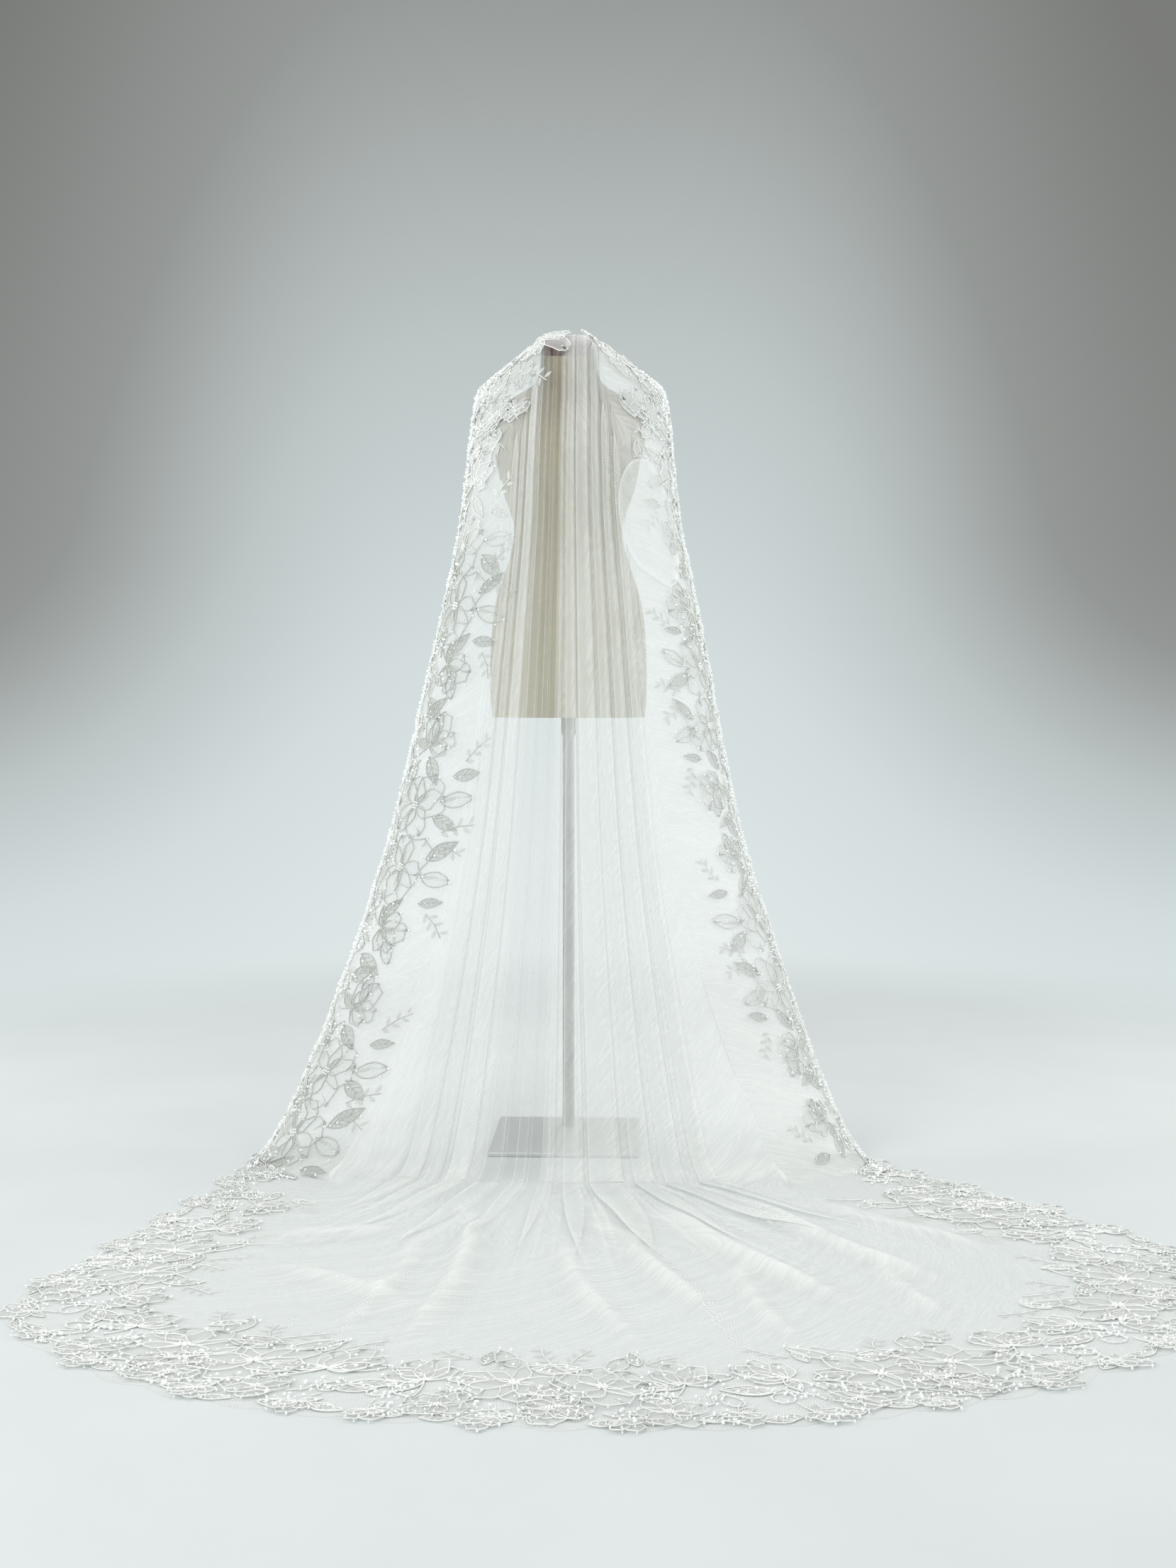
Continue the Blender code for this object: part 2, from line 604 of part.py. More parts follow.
def make_stand(steel, collection):
    shape = bmesh.new()
    bmesh.ops.create_cube(shape, size=1.0)
    bmesh.ops.scale(shape, verts=shape.verts, vec=(PLATE_SIZE, PLATE_SIZE, PLATE_THICKNESS))
    bmesh.ops.translate(shape, verts=shape.verts, vec=(0, PLATE_CENTRE_Y, PLATE_THICKNESS / 2))
    plate = add_object("base_plate", shape, steel, collection)
    rounded = plate.modifiers.new("edges", "BEVEL")
    rounded.width = PLATE_EDGE
    rounded.segments = 2
    plate.data.set_sharp_from_angle(angle=radians(40))

    pole_bottom, pole_top = PLATE_THICKNESS + SEAT_GAP, FORM_BOTTOM - SEAT_GAP
    shape = bmesh.new()
    bmesh.ops.create_cone(
        shape, cap_ends=True, segments=POLE_SIDES, radius1=POLE_RADIUS, radius2=POLE_RADIUS,
        depth=pole_top - pole_bottom, matrix=Matrix.Translation((0, 0, (pole_top + pole_bottom) / 2)),
    )
    pole = add_object("pole", shape, steel, collection)
    pole.data.set_sharp_from_angle(angle=radians(40))

    bore = POLE_RADIUS + SEAT_GAP
    shape = bmesh.new()
    corners = [(bore, pole_top), (SLEEVE_RADIUS, pole_top)]
    corners += [(SLEEVE_RADIUS, pole_top - SLEEVE_LENGTH), (bore, pole_top - SLEEVE_LENGTH)]
    points = [shape.verts.new((radius, 0, height)) for radius, height in corners]
    for start, end in zip(points, points[1:] + points[:1]):
        shape.edges.new((start, end))
    sleeve = add_object("pole_sleeve", shape, steel, collection)
    turned = sleeve.modifiers.new("turned", "SCREW")
    turned.steps = turned.render_steps = POLE_SIDES
    turned.use_merge_vertices = True
    turned.merge_threshold = MERGE_DISTANCE


def main():
    for old in list(bpy.data.objects):
        bpy.data.objects.remove(old, do_unlink=True)
    veil = bpy.data.collections.new("bridal_veil_on_form")
    bpy.context.scene.collection.children.link(veil)

    net = material("net", (0.80, 0.79, 0.76), 0.75)
    lace = material("lace", (0.84, 0.82, 0.77), 0.70)
    linen = material("linen", (0.62, 0.56, 0.45), 0.90)
    wood = material("wood", (0.16, 0.06, 0.03), 0.45)
    steel = material("steel", (0.55, 0.55, 0.55), 0.32, 1.0)

    columns = net_columns()
    make_hanging_net(columns, net, veil)
    inner = [column for column in columns if abs(column.seam_share) <= CORNER_SHARE]
    make_train_net(inner, net, veil)

    make_side_lace("lace_left", columns[0], lace, veil)
    make_side_lace("lace_right", columns[-1], lace, veil)
    angles = [-TRAIN_CORNER] + [column_angle(column, FLOOR_ROW + 1) for column in inner] + [TRAIN_CORNER]
    left = [angle for angle in angles if angle < HEM_LEFT_END]
    right = [angle for angle in angles if angle > HEM_RIGHT_START]
    front = [angle for angle in angles if left[-1] < angle < right[0]]
    make_train_lace("lace_hem_left", left + front[:1], lace, veil)
    make_train_lace("lace_hem_front", front + right[:1], lace, veil)
    make_train_lace("lace_hem_right", right, lace, veil)

    shoulder = [column for column in columns if column.top > 0]
    left = [column for column in shoulder if column_angle(column, column.top) < 0]
    right = [column for column in shoulder if column_angle(column, column.top) > 0]
    make_shoulder_lace("lace_shoulder_left", left[::-1], lace, veil)
    make_shoulder_lace("lace_shoulder_right", right, lace, veil)
    make_cap_lace("lace_cap", lace, veil)

    make_torso(linen, veil)
    make_neck_cap(wood, veil)
    make_stand(steel, veil)


main()
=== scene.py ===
from bisect import bisect_right
from collections import namedtuple
from math import asin, ceil, copysign, cos, degrees, exp, pi, radians, sin, sqrt, tau
import random

import bmesh
import bpy
from mathutils import Matrix, Vector, noise


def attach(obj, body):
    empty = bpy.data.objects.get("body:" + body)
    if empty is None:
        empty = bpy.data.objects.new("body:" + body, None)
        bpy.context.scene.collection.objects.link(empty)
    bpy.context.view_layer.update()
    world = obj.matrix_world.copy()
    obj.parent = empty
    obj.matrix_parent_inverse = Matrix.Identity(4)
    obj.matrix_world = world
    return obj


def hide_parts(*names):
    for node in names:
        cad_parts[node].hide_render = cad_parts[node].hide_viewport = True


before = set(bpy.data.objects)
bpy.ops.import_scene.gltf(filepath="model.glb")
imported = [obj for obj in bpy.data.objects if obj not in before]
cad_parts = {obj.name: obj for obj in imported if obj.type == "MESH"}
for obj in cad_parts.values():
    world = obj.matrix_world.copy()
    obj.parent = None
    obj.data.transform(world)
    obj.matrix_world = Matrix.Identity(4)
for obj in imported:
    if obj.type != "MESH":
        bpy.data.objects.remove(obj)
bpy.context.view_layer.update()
print("frame loaded:", len(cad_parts), "nodes")

# Camera and studio, in metres and degrees; the picture is 1659 x 2212
camera = {
    "place": (0.171, -3.576, 0.892),
    "turn": 2.1,              # to the left of straight ahead
    "lens": 40.17,
    "sensor": 36.0,
    "shiftY": -0.0579,
}
Lamp = namedtuple("Lamp", "name place target size power")
studio = {
    "floorRadius": 14.0,
    "floorCentre": (-0.1, 0.7, 0),
    "floorFade": (1.8, 3.3),  # the floor melts into the backdrop between these distances
    "floorColour": (0.665, 0.71, 0.71),
    "floorShade": (0.60, 0.642, 0.642),
    # backdrop from the glow behind the object out to its dim corners
    "glow": [(0.02, (0.725, 0.785, 0.79)), (0.13, (0.65, 0.72, 0.725)), (0.27, (0.51, 0.56, 0.56)),
             (0.43, (0.30, 0.315, 0.305)), (0.60, (0.20, 0.205, 0.198))],
    "glowCentre": -0.12,      # sine of the elevation where the backdrop is brightest
    "glowTurn": 0.05,
    "glowRise": (-0.24, 0.10),
    "riseWeight": 0.85,
    "sideWeight": 0.50,
    "lobes": 8,               # glows round the horizon, so that each side has one behind it
    "lamps": [
        Lamp("key", (-2.2, -3.6, 2.3), (0, -0.3, 0.8), 2.6, 88.0),
        Lamp("fill", (3.0, -3.0, 2.2), (0, -0.3, 0.7), 2.6, 42.0),
        Lamp("top", (0.2, 0.9, 4.4), (0, -0.2, 0.3), 5.0, 128.0),
        Lamp("leftSide", (-3.4, 0.3, 1.7), (0, -0.2, 0.9), 2.0, 40.0),
        Lamp("rightSide", (3.4, 0.3, 1.7), (0, -0.2, 0.9), 2.0, 40.0),
    ],
}


def makeCamera():
    data = bpy.data.cameras.new("camera")
    data.lens = camera["lens"]
    data.sensor_width = camera["sensor"]
    data.shift_y = camera["shiftY"]
    data.clip_end = 60
    seen = bpy.data.objects.new("camera", data)
    seen.location = camera["place"]
    seen.rotation_euler = (radians(90), 0, radians(camera["turn"]))
    bpy.context.scene.collection.objects.link(seen)
    bpy.context.scene.camera = seen


makeCamera()


# Shader maths: a socket that can be added, multiplied and so on, and the graph that makes its nodes
class Socket:
    def __init__(self, graph, socket):
        self.graph = graph
        self.socket = socket

    def __add__(self, other):
        return self.graph.maths("ADD", self, other)

    def __radd__(self, other):
        return self.graph.maths("ADD", other, self)

    def __sub__(self, other):
        return self.graph.maths("SUBTRACT", self, other)

    def __rsub__(self, other):
        return self.graph.maths("SUBTRACT", other, self)

    def __mul__(self, other):
        return self.graph.maths("MULTIPLY", self, other)

    def __rmul__(self, other):
        return self.graph.maths("MULTIPLY", other, self)

    def __truediv__(self, other):
        return self.graph.maths("DIVIDE", self, other)

    def __rtruediv__(self, other):
        return self.graph.maths("DIVIDE", other, self)

    def __pow__(self, other):
        return self.graph.maths("POWER", self, other)


class Graph:
    def __init__(self, tree):
        self.tree = tree

    def feed(self, socket, value):
        if isinstance(value, Socket):
            self.tree.links.new(value.socket, socket)
        elif hasattr(value, "__len__") and len(value) == 3 and len(socket.default_value) == 4:
            socket.default_value = (*value, 1.0)
        else:
            socket.default_value = value

    def add(self, kind, settings=None, inputs=None, output=0):
        made = self.tree.nodes.new("ShaderNode" + kind)
        for name, value in (settings or {}).items():
            if name == "stops":
                self.setStops(made.color_ramp, value)
            else:
                setattr(made, name, value)
        for name, value in (inputs or {}).items():
            self.feed(made.inputs[name], value)
        return Socket(self, made.outputs[output])

    def setStops(self, ramp, stops):
        while len(ramp.elements) < len(stops):
            ramp.elements.new(0.5)
        for element, (place, colour) in zip(ramp.elements, stops):
            element.position = place
            element.color = (*colour, 1.0) if hasattr(colour, "__len__") else (colour, colour, colour, 1.0)

    def maths(self, operation, first, second, clamp=False):
        return self.add("Math", {"operation": operation, "use_clamp": clamp}, {0: first, 1: second})

    def blend(self, factor, first, second):
        return self.add("Mix", {"data_type": "RGBA"}, {0: factor, 6: first, 7: second}, output=2)

    def ramp(self, factor, stops):
        return self.add("ValToRGB", {"stops": stops}, {"Fac": factor})

    def noise(self, vector, scale, detail=3.0, roughness=0.5):
        values = {"Vector": vector, "Scale": scale, "Detail": detail, "Roughness": roughness}
        return self.add("TexNoise", None, values)

    def stretched(self, vector, scale):
        return self.add("Mapping", None, {"Vector": vector, "Scale": scale})

    def separated(self, vector):
        parts = self.add("SeparateXYZ", None, {"Vector": vector})
        return [Socket(self, output) for output in parts.socket.node.outputs]


def newMaterial(name, **plain):
    made = bpy.data.materials.new(name)
    made.use_nodes = True
    graph = Graph(made.node_tree)
    shader = made.node_tree.nodes["Principled BSDF"]
    for socket, value in plain.items():
        graph.feed(shader.inputs[socket.replace("_", " ")], value)
    return made, graph, shader


def makeStudio():
    world = bpy.data.worlds.new("studio")
    bpy.context.scene.world = world
    world.use_nodes = True
    graph = Graph(world.node_tree)
    x, y, height = graph.separated(graph.add("TexCoord", output=0))
    azimuth = graph.maths("ARCTAN2", x, y) + studio["glowTurn"]
    aside = 0.5 - 0.5 * graph.maths("COSINE", azimuth * studio["lobes"], 0.0)
    low, high = studio["glowRise"]
    above = graph.add("MapRange", {"interpolation_type": "SMOOTHSTEP"},
                      {"Value": height, "From Min": low, "From Max": high})
    aside = aside * above * studio["sideWeight"]
    rise = graph.maths("MAXIMUM", height - studio["glowCentre"], 0.0) * studio["riseWeight"]
    distance = graph.maths("SQRT", aside * aside + rise * rise, 0.0)
    background = world.node_tree.nodes["Background"]
    graph.feed(background.inputs["Color"], graph.ramp(distance, studio["glow"]))
    background.inputs["Strength"].default_value = 1.0

    shape = bmesh.new()
    bmesh.ops.create_circle(shape, cap_ends=True, segments=96, radius=studio["floorRadius"])
    floor = addPiece("studioFloor", shape, [floorMaterial()], stage=True)

    for lamp in studio["lamps"]:
        addLight(lamp)
    bpy.context.scene.view_settings.view_transform = "Standard"
    bpy.context.scene.cycles.transparent_max_bounces = 96


def addLight(lamp):
    data = bpy.data.lights.new(lamp.name, "AREA")
    data.shape = "DISK"
    data.size = lamp.size
    data.energy = lamp.power
    made = bpy.data.objects.new(lamp.name, data)
    made.location = lamp.place
    made.rotation_euler = (Vector(lamp.target) - made.location).to_track_quat("-Z", "Y").to_euler()
    bpy.context.scene.collection.objects.link(made)


def floorMaterial():
    made, graph, shader = newMaterial("studio floor", Roughness=0.75)
    place = graph.add("TexCoord", output=3)
    grain = graph.noise(place, 3.0)
    graph.feed(shader.inputs["Base Color"], graph.blend(grain, studio["floorColour"], studio["floorShade"]))
    place = graph.add("VectorMath", {"operation": "ADD"}, {0: place, 1: studio["floorCentre"]})
    distance = graph.add("VectorMath", {"operation": "LENGTH"}, {0: place}, output=1)
    near, far = studio["floorFade"]
    fade = graph.add("MapRange", {"interpolation_type": "SMOOTHSTEP"},
                     {"Value": distance, "From Min": near, "From Max": far, "To Min": 1.0, "To Max": 0.0})
    graph.feed(shader.inputs["Alpha"], fade)
    return made


def addPiece(name, shape, materials, stage=False, smoothFaces=True):
    mesh = bpy.data.meshes.new(name)
    shape.to_mesh(mesh)
    shape.free()
    for material in materials:
        mesh.materials.append(material)
    if smoothFaces:
        mesh.shade_smooth()
    made = bpy.data.objects.new(name, mesh)
    bpy.context.scene.collection.objects.link(made)
    if not stage:
        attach(made, "root")
    return made


makeStudio()
print("studio ready")

# The fall of the cloth, row by row from behind the cap to the floor, as in the solids: height and
# front of its middle, reach and place of its sides, angles of the seam and of the outer edge
BellRow = namedtuple("BellRow", "centreZ frontY leftX rightX sideY sideZ backY seam edge")
bell = {
    "rows": [
        BellRow(1.6000, 0.068, 0.174, 0.180, 0.066, 1.500, 0.070, 39.0, 90),
        BellRow(1.6220, 0.043, 0.178, 0.185, 0.058, 1.512, 0.080, 39.0, 92),
        BellRow(1.6256, 0.012, 0.182, 0.190, 0.050, 1.516, 0.090, 39.0, 94),
        BellRow(1.6150, -0.030, 0.186, 0.194, 0.043, 1.510, 0.095, 39.0, 96),
        BellRow(1.5890, -0.062, 0.189, 0.197, 0.037, 1.497, 0.100, 39.0, 98),
        BellRow(1.5450, -0.071, 0.192, 0.200, 0.031, 1.474, 0.110, 39.0, 100),
        BellRow(1.4900, -0.080, 0.196, 0.204, 0.025, 1.440, 0.120, 39.0, 102),
        BellRow(1.4250, -0.118, 0.201, 0.208, 0.020, 1.392, 0.130, 39.0, 104),
        BellRow(1.3500, -0.146, 0.207, 0.214, 0.014, 1.330, 0.135, 38.0, 103),
        BellRow(1.2200, -0.163, 0.222, 0.230, 0.000, 1.208, 0.120, 35.5, 102),
        BellRow(1.0300, -0.192, 0.259, 0.267, -0.020, 1.026, 0.100, 34.0, 101),
        BellRow(0.8300, -0.228, 0.300, 0.301, -0.050, 0.830, 0.070, 34.5, 100),
        BellRow(0.6200, -0.268, 0.346, 0.343, -0.085, 0.620, 0.040, 35.5, 100),
        BellRow(0.4200, -0.310, 0.405, 0.402, -0.120, 0.420, 0.005, 38.0, 100),
        BellRow(0.2400, -0.352, 0.468, 0.462, -0.155, 0.240, -0.030, 41.0, 100),
        BellRow(0.1100, -0.390, 0.520, 0.512, -0.180, 0.110, -0.055, 44.5, 100),
        BellRow(0.0350, -0.422, 0.556, 0.548, -0.195, 0.035, -0.070, 45.5, 100),
        BellRow(0.0006, -0.462, 0.585, 0.578, -0.205, 0.0006, -0.080, 46.0, 100),
    ],
    "floorRow": 17,
    "planPower": 2.2,         # squareness seen from above
    "capFlat": 0.21,          # share of the half width that lies level on the cap
    "capBlend": 0.03,
    "floorHeight": 0.0006,
}
TrainRay = namedtuple("TrainRay", "angle seamX seamY hemX hemY")
train = {
    "rays": [
        TrainRay(-46, -0.420, -0.395, -0.598, -0.345),
        TrainRay(-40, -0.430, -0.510, -0.604, -0.420),
        TrainRay(-34, -0.455, -0.640, -0.640, -0.580),
        TrainRay(-29, -0.487, -0.765, -0.682, -0.735),
        TrainRay(-25, -0.515, -0.870, -0.722, -0.880),
        TrainRay(-21, -0.525, -0.965, -0.752, -1.010),
        TrainRay(-17, -0.490, -1.055, -0.722, -1.145),
        TrainRay(-13, -0.405, -1.130, -0.600, -1.270),
        TrainRay(-9, -0.295, -1.185, -0.440, -1.365),
        TrainRay(-5, -0.165, -1.220, -0.255, -1.418),
        TrainRay(-1, -0.025, -1.240, -0.055, -1.443),
        TrainRay(3, 0.120, -1.245, 0.150, -1.450),
        TrainRay(7, 0.265, -1.235, 0.350, -1.425),
        TrainRay(11, 0.405, -1.205, 0.540, -1.370),
        TrainRay(15, 0.540, -1.155, 0.715, -1.285),
        TrainRay(19, 0.660, -1.080, 0.865, -1.175),
        TrainRay(23, 0.755, -0.985, 0.975, -1.045),
        TrainRay(27, 0.800, -0.880, 1.025, -0.895),
        TrainRay(31, 0.780, -0.775, 0.995, -0.740),
        TrainRay(35, 0.700, -0.665, 0.890, -0.580),
        TrainRay(39, 0.595, -0.555, 0.765, -0.435),
        TrainRay(43, 0.500, -0.465, 0.665, -0.330),
        TrainRay(46, 0.416, -0.395, 0.630, -0.305),
    ],
    "corner": 46.0,
}


def smooth(values, place):
    first = min(max(int(place), 0), len(values) - 2)
    before, start, end, after = (values[min(max(first + k, 0), len(values) - 1)] for k in (-1, 0, 1, 2))
    t = place - first
    bend = 2 * before - 5 * start + 4 * end - after
    twist = 3 * start - before - 3 * end + after
    return 0.5 * (2 * start + (end - before) * t + bend * t * t + twist * t ** 3)


def ramp(value, start, end):
    return min(max((value - start) / (end - start), 0.0), 1.0)


def ease(share):
    return share * share * (3 - 2 * share)


def along(pairs, value):
    for (low, first), (high, second) in zip(pairs, pairs[1:]):
        if value <= high:
            return first + (second - first) * ramp(value, low, high)
    return pairs[-1][1]


bellColumns = {name: [getattr(row, name) for row in bell["rows"]] for name in BellRow._fields}


def bellValue(name, row):
    return smooth(bellColumns[name], min(row, bell["floorRow"]))


def hanging(angle, row):
    side = sin(radians(angle))
    reach = min(abs(side), 1.0)
    left, right = bellValue("leftX", row), bellValue("rightX", row)
    half = (left + right) / 2 + (right - left) / 2 * side
    sideY = bellValue("sideY", row)
    farY = bellValue("frontY" if abs(angle) <= 90 else "backY", row)
    past = reach - bell["capFlat"]
    fall = (past + sqrt(past * past + bell["capBlend"] ** 2)) / 2 / (1 - bell["capFlat"])
    fall = 1.0 if abs(angle) > 90 else min(fall, 1.0)
    centreZ = bellValue("centreZ", row)
    return Vector((
        half * side,
        sideY + (farY - sideY) * (1 - reach ** bell["planPower"]) ** (1 / bell["planPower"]),
        centreZ + (bellValue("sideZ", row) - centreZ) * fall,
    ))


def withCorners(rays):
    made = list(rays)
    for end in (0, -1):
        corner = hanging(made[end].angle, bell["floorRow"])
        made[end] = made[end]._replace(seamX=corner.x, seamY=corner.y)
    return made


trainColumns = {name: [getattr(ray, name) for ray in withCorners(train["rays"])] for name in TrainRay._fields}
trainPlaces = [(ray.angle, place) for place, ray in enumerate(train["rays"])]


def floorPoint(angle, shareToSeam, shareToHem=0.0):
    place = along(trainPlaces, angle)
    seamX, seamY, hemX, hemY = (smooth(trainColumns[name], place) for name in TrainRay._fields[1:])
    seam = Vector((seamX, seamY, bell["floorHeight"]))
    hem = Vector((hemX, hemY, bell["floorHeight"]))
    if shareToSeam < 1:
        return hanging(angle, bell["floorRow"]).lerp(seam, shareToSeam)
    return seam.lerp(hem, shareToHem)


def drape(angle, row):
    if row <= bell["floorRow"]:
        return hanging(angle, row)
    return floorPoint(angle, min(row - bell["floorRow"], 0.9999))


def outward(angle, row):
    across = drape(angle + 0.5, row) - drape(angle - 0.5, row)
    down = drape(angle, row + 0.1) - drape(angle, row - 0.1)
    return down.cross(across).normalized()


# The tulle: one panel in knife folds, from the top edge behind the cap to the lace of the train
Pleat = namedtuple("Pleat", "centre half")
tulle = {
    "pleats": [
        Pleat(-28.2, 1.5), Pleat(-23.6, 0.9), Pleat(-18.8, 1.5), Pleat(-12.3, 1.6), Pleat(-6.9, 0.9),
        Pleat(-2.2, 0.7), Pleat(2.6, 1.4), Pleat(8.6, 2.6), Pleat(15.6, 1.5), Pleat(21.4, 1.6),
        Pleat(27.8, 1.4),
    ],
    # across one fold: place from its left to its right edge, share of the overlap, layers up, bright turn
    "profile": [
        (-1.0, 0, 0.0, 0), (0.0, 0, 0.0, 0), (0.8, 0, 0.02, 0), (1.0, 0, 0.15, 0.4), (1.1, 0, 0.5, 1),
        (1.0, 0, 0.85, 0.4), (0.7, 0, 1.0, 0), (0.0, 0, 1.0, 0), (-0.7, 0, 1.0, 0), (-1.0, 0, 1.15, 0.4),
        (-1.1, 0, 1.5, 1), (-1.0, 0, 1.85, 0.4), (-0.7, 0, 2.0, 0), (0.0, 0, 2.0, 0), (0.9, 0.7, 2.0, 0),
        (1.0, 0.95, 1.85, 0.4), (1.0, 1.1, 1.3, 1), (1.0, 1.15, 0.6, 0.4), (1.0, 1.4, 0.08, 0),
    ],
    "foldStep": 0.0030,
    "overlap": 0.8,
    "foldStart": 14.0,
    "foldOpening": 1.5,
    "openingShares": (0.02, 0.62),
    "flatteningShares": (0.1, 0.75),
    "spread": 0.55,
    "spreadLeast": 0.3,
    "plainAngle": 31.0,
    "plainColumns": 9,
    "valleyStep": 1.1,        # degrees between plain columns
    "squeezeRow": 9.0,
    "rowsHanging": 150,
    "rowsOnFloor": 70,
    "shoulderLine": ((14.0, 0.0), (16.0, 1.3), (18.0, 2.8), (22.0, 5.0), (27.0, 6.3), (39.0, 7.0)),
    "shoulderStart": 13.4,
    "capHeight": 0.35,        # share of the folds' height that is left on the cap
    "landing": 0.013,         # how far the cloth bends above the floor where it lands
    "landingRows": (15.6, 17.0, 17.32),
    "thinned": 0.42,          # share of the gathered layers in each of a fold's three walls
    "threefold": 14,          # places of the profile that have two more walls over or under them
}
Column = namedtuple("Column", "folded flat layers top folds seamShare turn thin", defaults=(0.0,))


def foldSpread(pleat):
    return tulle["spread"] * pleat.half + tulle["spreadLeast"]


def foldTop(pleat):
    if abs(pleat.centre) < tulle["foldStart"]:
        return 0.0
    return along(tulle["shoulderLine"], abs(pleat.centre) + 2 * foldSpread(pleat))


def foldColumns(pleat):
    profile = tulle["profile"]
    columns = []
    for place, (across, over, layers, turn) in enumerate(profile):
        folded = pleat.centre + across * pleat.half + over * tulle["overlap"]
        flat = pleat.centre + (4 * place / (len(profile) - 1) - 2) * foldSpread(pleat)
        top = along(tulle["shoulderLine"], abs(flat)) if abs(pleat.centre) > tulle["foldStart"] else 0.0
        thin = 1.0 if place < tulle["threefold"] else 0.0
        columns.append(Column(folded, flat, layers, top, (pleat,), 0.0, turn, thin))
    return columns


def valleyColumns(end, start, folds):
    width = start.folded - end.folded
    count = max(2, ceil(width / tulle["valleyStep"]))
    margin = 0.1 * folds[1].half + 0.04
    marks = [(end.folded + (width - margin) * place / count, 0.0) for place in range(1, count + 1)]
    for angle in hairlines["angles"]:
        if end.folded + 2 * hairlines["half"] < angle < start.folded - 2 * hairlines["half"]:
            marks = [mark for mark in marks if abs(mark[0] - angle) > 1.5 * hairlines["half"]]
            marks += [(angle - hairlines["half"], 0.0), (angle, 1.0), (angle + hairlines["half"], 0.0)]
    columns = []
    for folded, crease in sorted(marks):
        flat = end.flat + (start.flat - end.flat) * (folded - end.folded) / width
        top = along(tulle["shoulderLine"], abs(flat))
        raised = crease * hairlines["height"] / tulle["foldStep"]
        columns.append(Column(folded, flat, raised, top, folds, 0.0, crease * hairlines["turn"]))
    return columns


def netColumns():
    reach = bellValue("seam", 0) - tulle["plainAngle"]
    shares = [1 - place / tulle["plainColumns"] for place in range(tulle["plainColumns"])]
    left = [Column(0, 0, 0, along(tulle["shoulderLine"], tulle["plainAngle"] + reach * share), (), -share, 0)
            for share in shares]
    columns = list(left)
    pleats = tulle["pleats"]
    for pleat, following in zip(pleats, pleats[1:] + [None]):
        fold = foldColumns(pleat)
        columns += fold
        if following:
            columns += valleyColumns(fold[-1], foldColumns(following)[0], (pleat, following))
    return columns + [column._replace(seamShare=-column.seamShare) for column in reversed(left)]


def foldStrength(pleat, row):
    opening = 1 - ease(ramp(row - bell["floorRow"], *tulle["openingShares"]))
    if abs(pleat.centre) > tulle["foldStart"]:
        opening *= ease(ramp(row, foldTop(pleat), foldTop(pleat) + tulle["foldOpening"]))
    return opening


def columnRow(column, row):
    if row >= tulle["squeezeRow"]:
        return row
    return column.top + (tulle["squeezeRow"] - column.top) * row / tulle["squeezeRow"]


def columnAngle(column, row):
    if column.seamShare:
        reach = abs(column.seamShare) * (bellValue("seam", row) - tulle["plainAngle"])
        return copysign(tulle["plainAngle"] + reach, column.seamShare)
    closing = sum(foldStrength(fold, row) for fold in column.folds) / len(column.folds)
    return column.flat + (column.folded - column.flat) * closing


def foldHeight(column, row):
    if not column.layers:
        return 0.0
    height = 1 - ease(ramp(row - bell["floorRow"], *tulle["flatteningShares"]))
    if len(column.folds) > 1:
        height *= 1 - ease(ramp(row - bell["floorRow"], -1.0, 0.4))
    if abs(column.folds[0].centre) > tulle["foldStart"]:
        top = foldTop(column.folds[0])
        height *= ease(ramp(row, top, top + tulle["foldOpening"]))
    height *= tulle["capHeight"] + (1 - tulle["capHeight"]) * ease(ramp(row, 3.2, 6.0))
    return column.layers * tulle["foldStep"] * height


# How many layers of net one wall stands for, where the real veil is gathered closer than its main folds
gathers = {
    "byAngle": ((-39, 4.0), (-31, 3.6), (-26, 3.0), (-21.2, 2.8), (-20.4, 4.4), (-17.1, 4.4), (-16.2, 2.9),
                (-15.0, 2.7), (-13.6, 0.9), (-4.2, 0.6), (-2.8, 1.1), (-1.4, 2.9), (2, 3.3), (8, 3.7), (20, 3.7),
                (31, 4.6), (39, 5.0)),
    "bare": (-11.5, -1.0, 4.5, 0.35),   # angles and last row of the strip of cap that shows, and its share
    "capRows": (4.2, 5.4),    # closer still above these rows, on the cap
    "onCap": 1.0,
    "lowRows": (9.0, 14.0),
    "low": 1.15,
    "train": 3.2,
    "onCrease": 80.0,         # more layers on a crease of the train, for each metre of its height
    "border": 3.2,
    "rightBorder": 5.0,
    "shoulder": 4.5,
}


def gathered(angle, row):
    layers = along(gathers["byAngle"], angle)
    layers *= 1 + (gathers["onCap"] - 1) * (1 - ramp(row, *gathers["capRows"]))
    layers *= 1 + (gathers["low"] - 1) * ramp(row, *gathers["lowRows"])
    start, end, lastRow, share = gathers["bare"]
    if start < angle < end and row < lastRow:
        layers *= share
    onFloor = ease(ramp(row - bell["floorRow"], -0.8, 0.6))
    return layers + (gathers["train"] - layers) * onFloor


# Hair-fine creases of the hanging net between the folds, in degrees
hairlines = {
    "angles": (-35.5, -33.2, -26.2, -21.0, -15.9, -4.6, 5.6, 12.4, 18.6, 24.8, 30.0,
               33.0, 36.2),
    "half": 0.16,
    "height": 0.0022,
    "turn": 0.75,
}


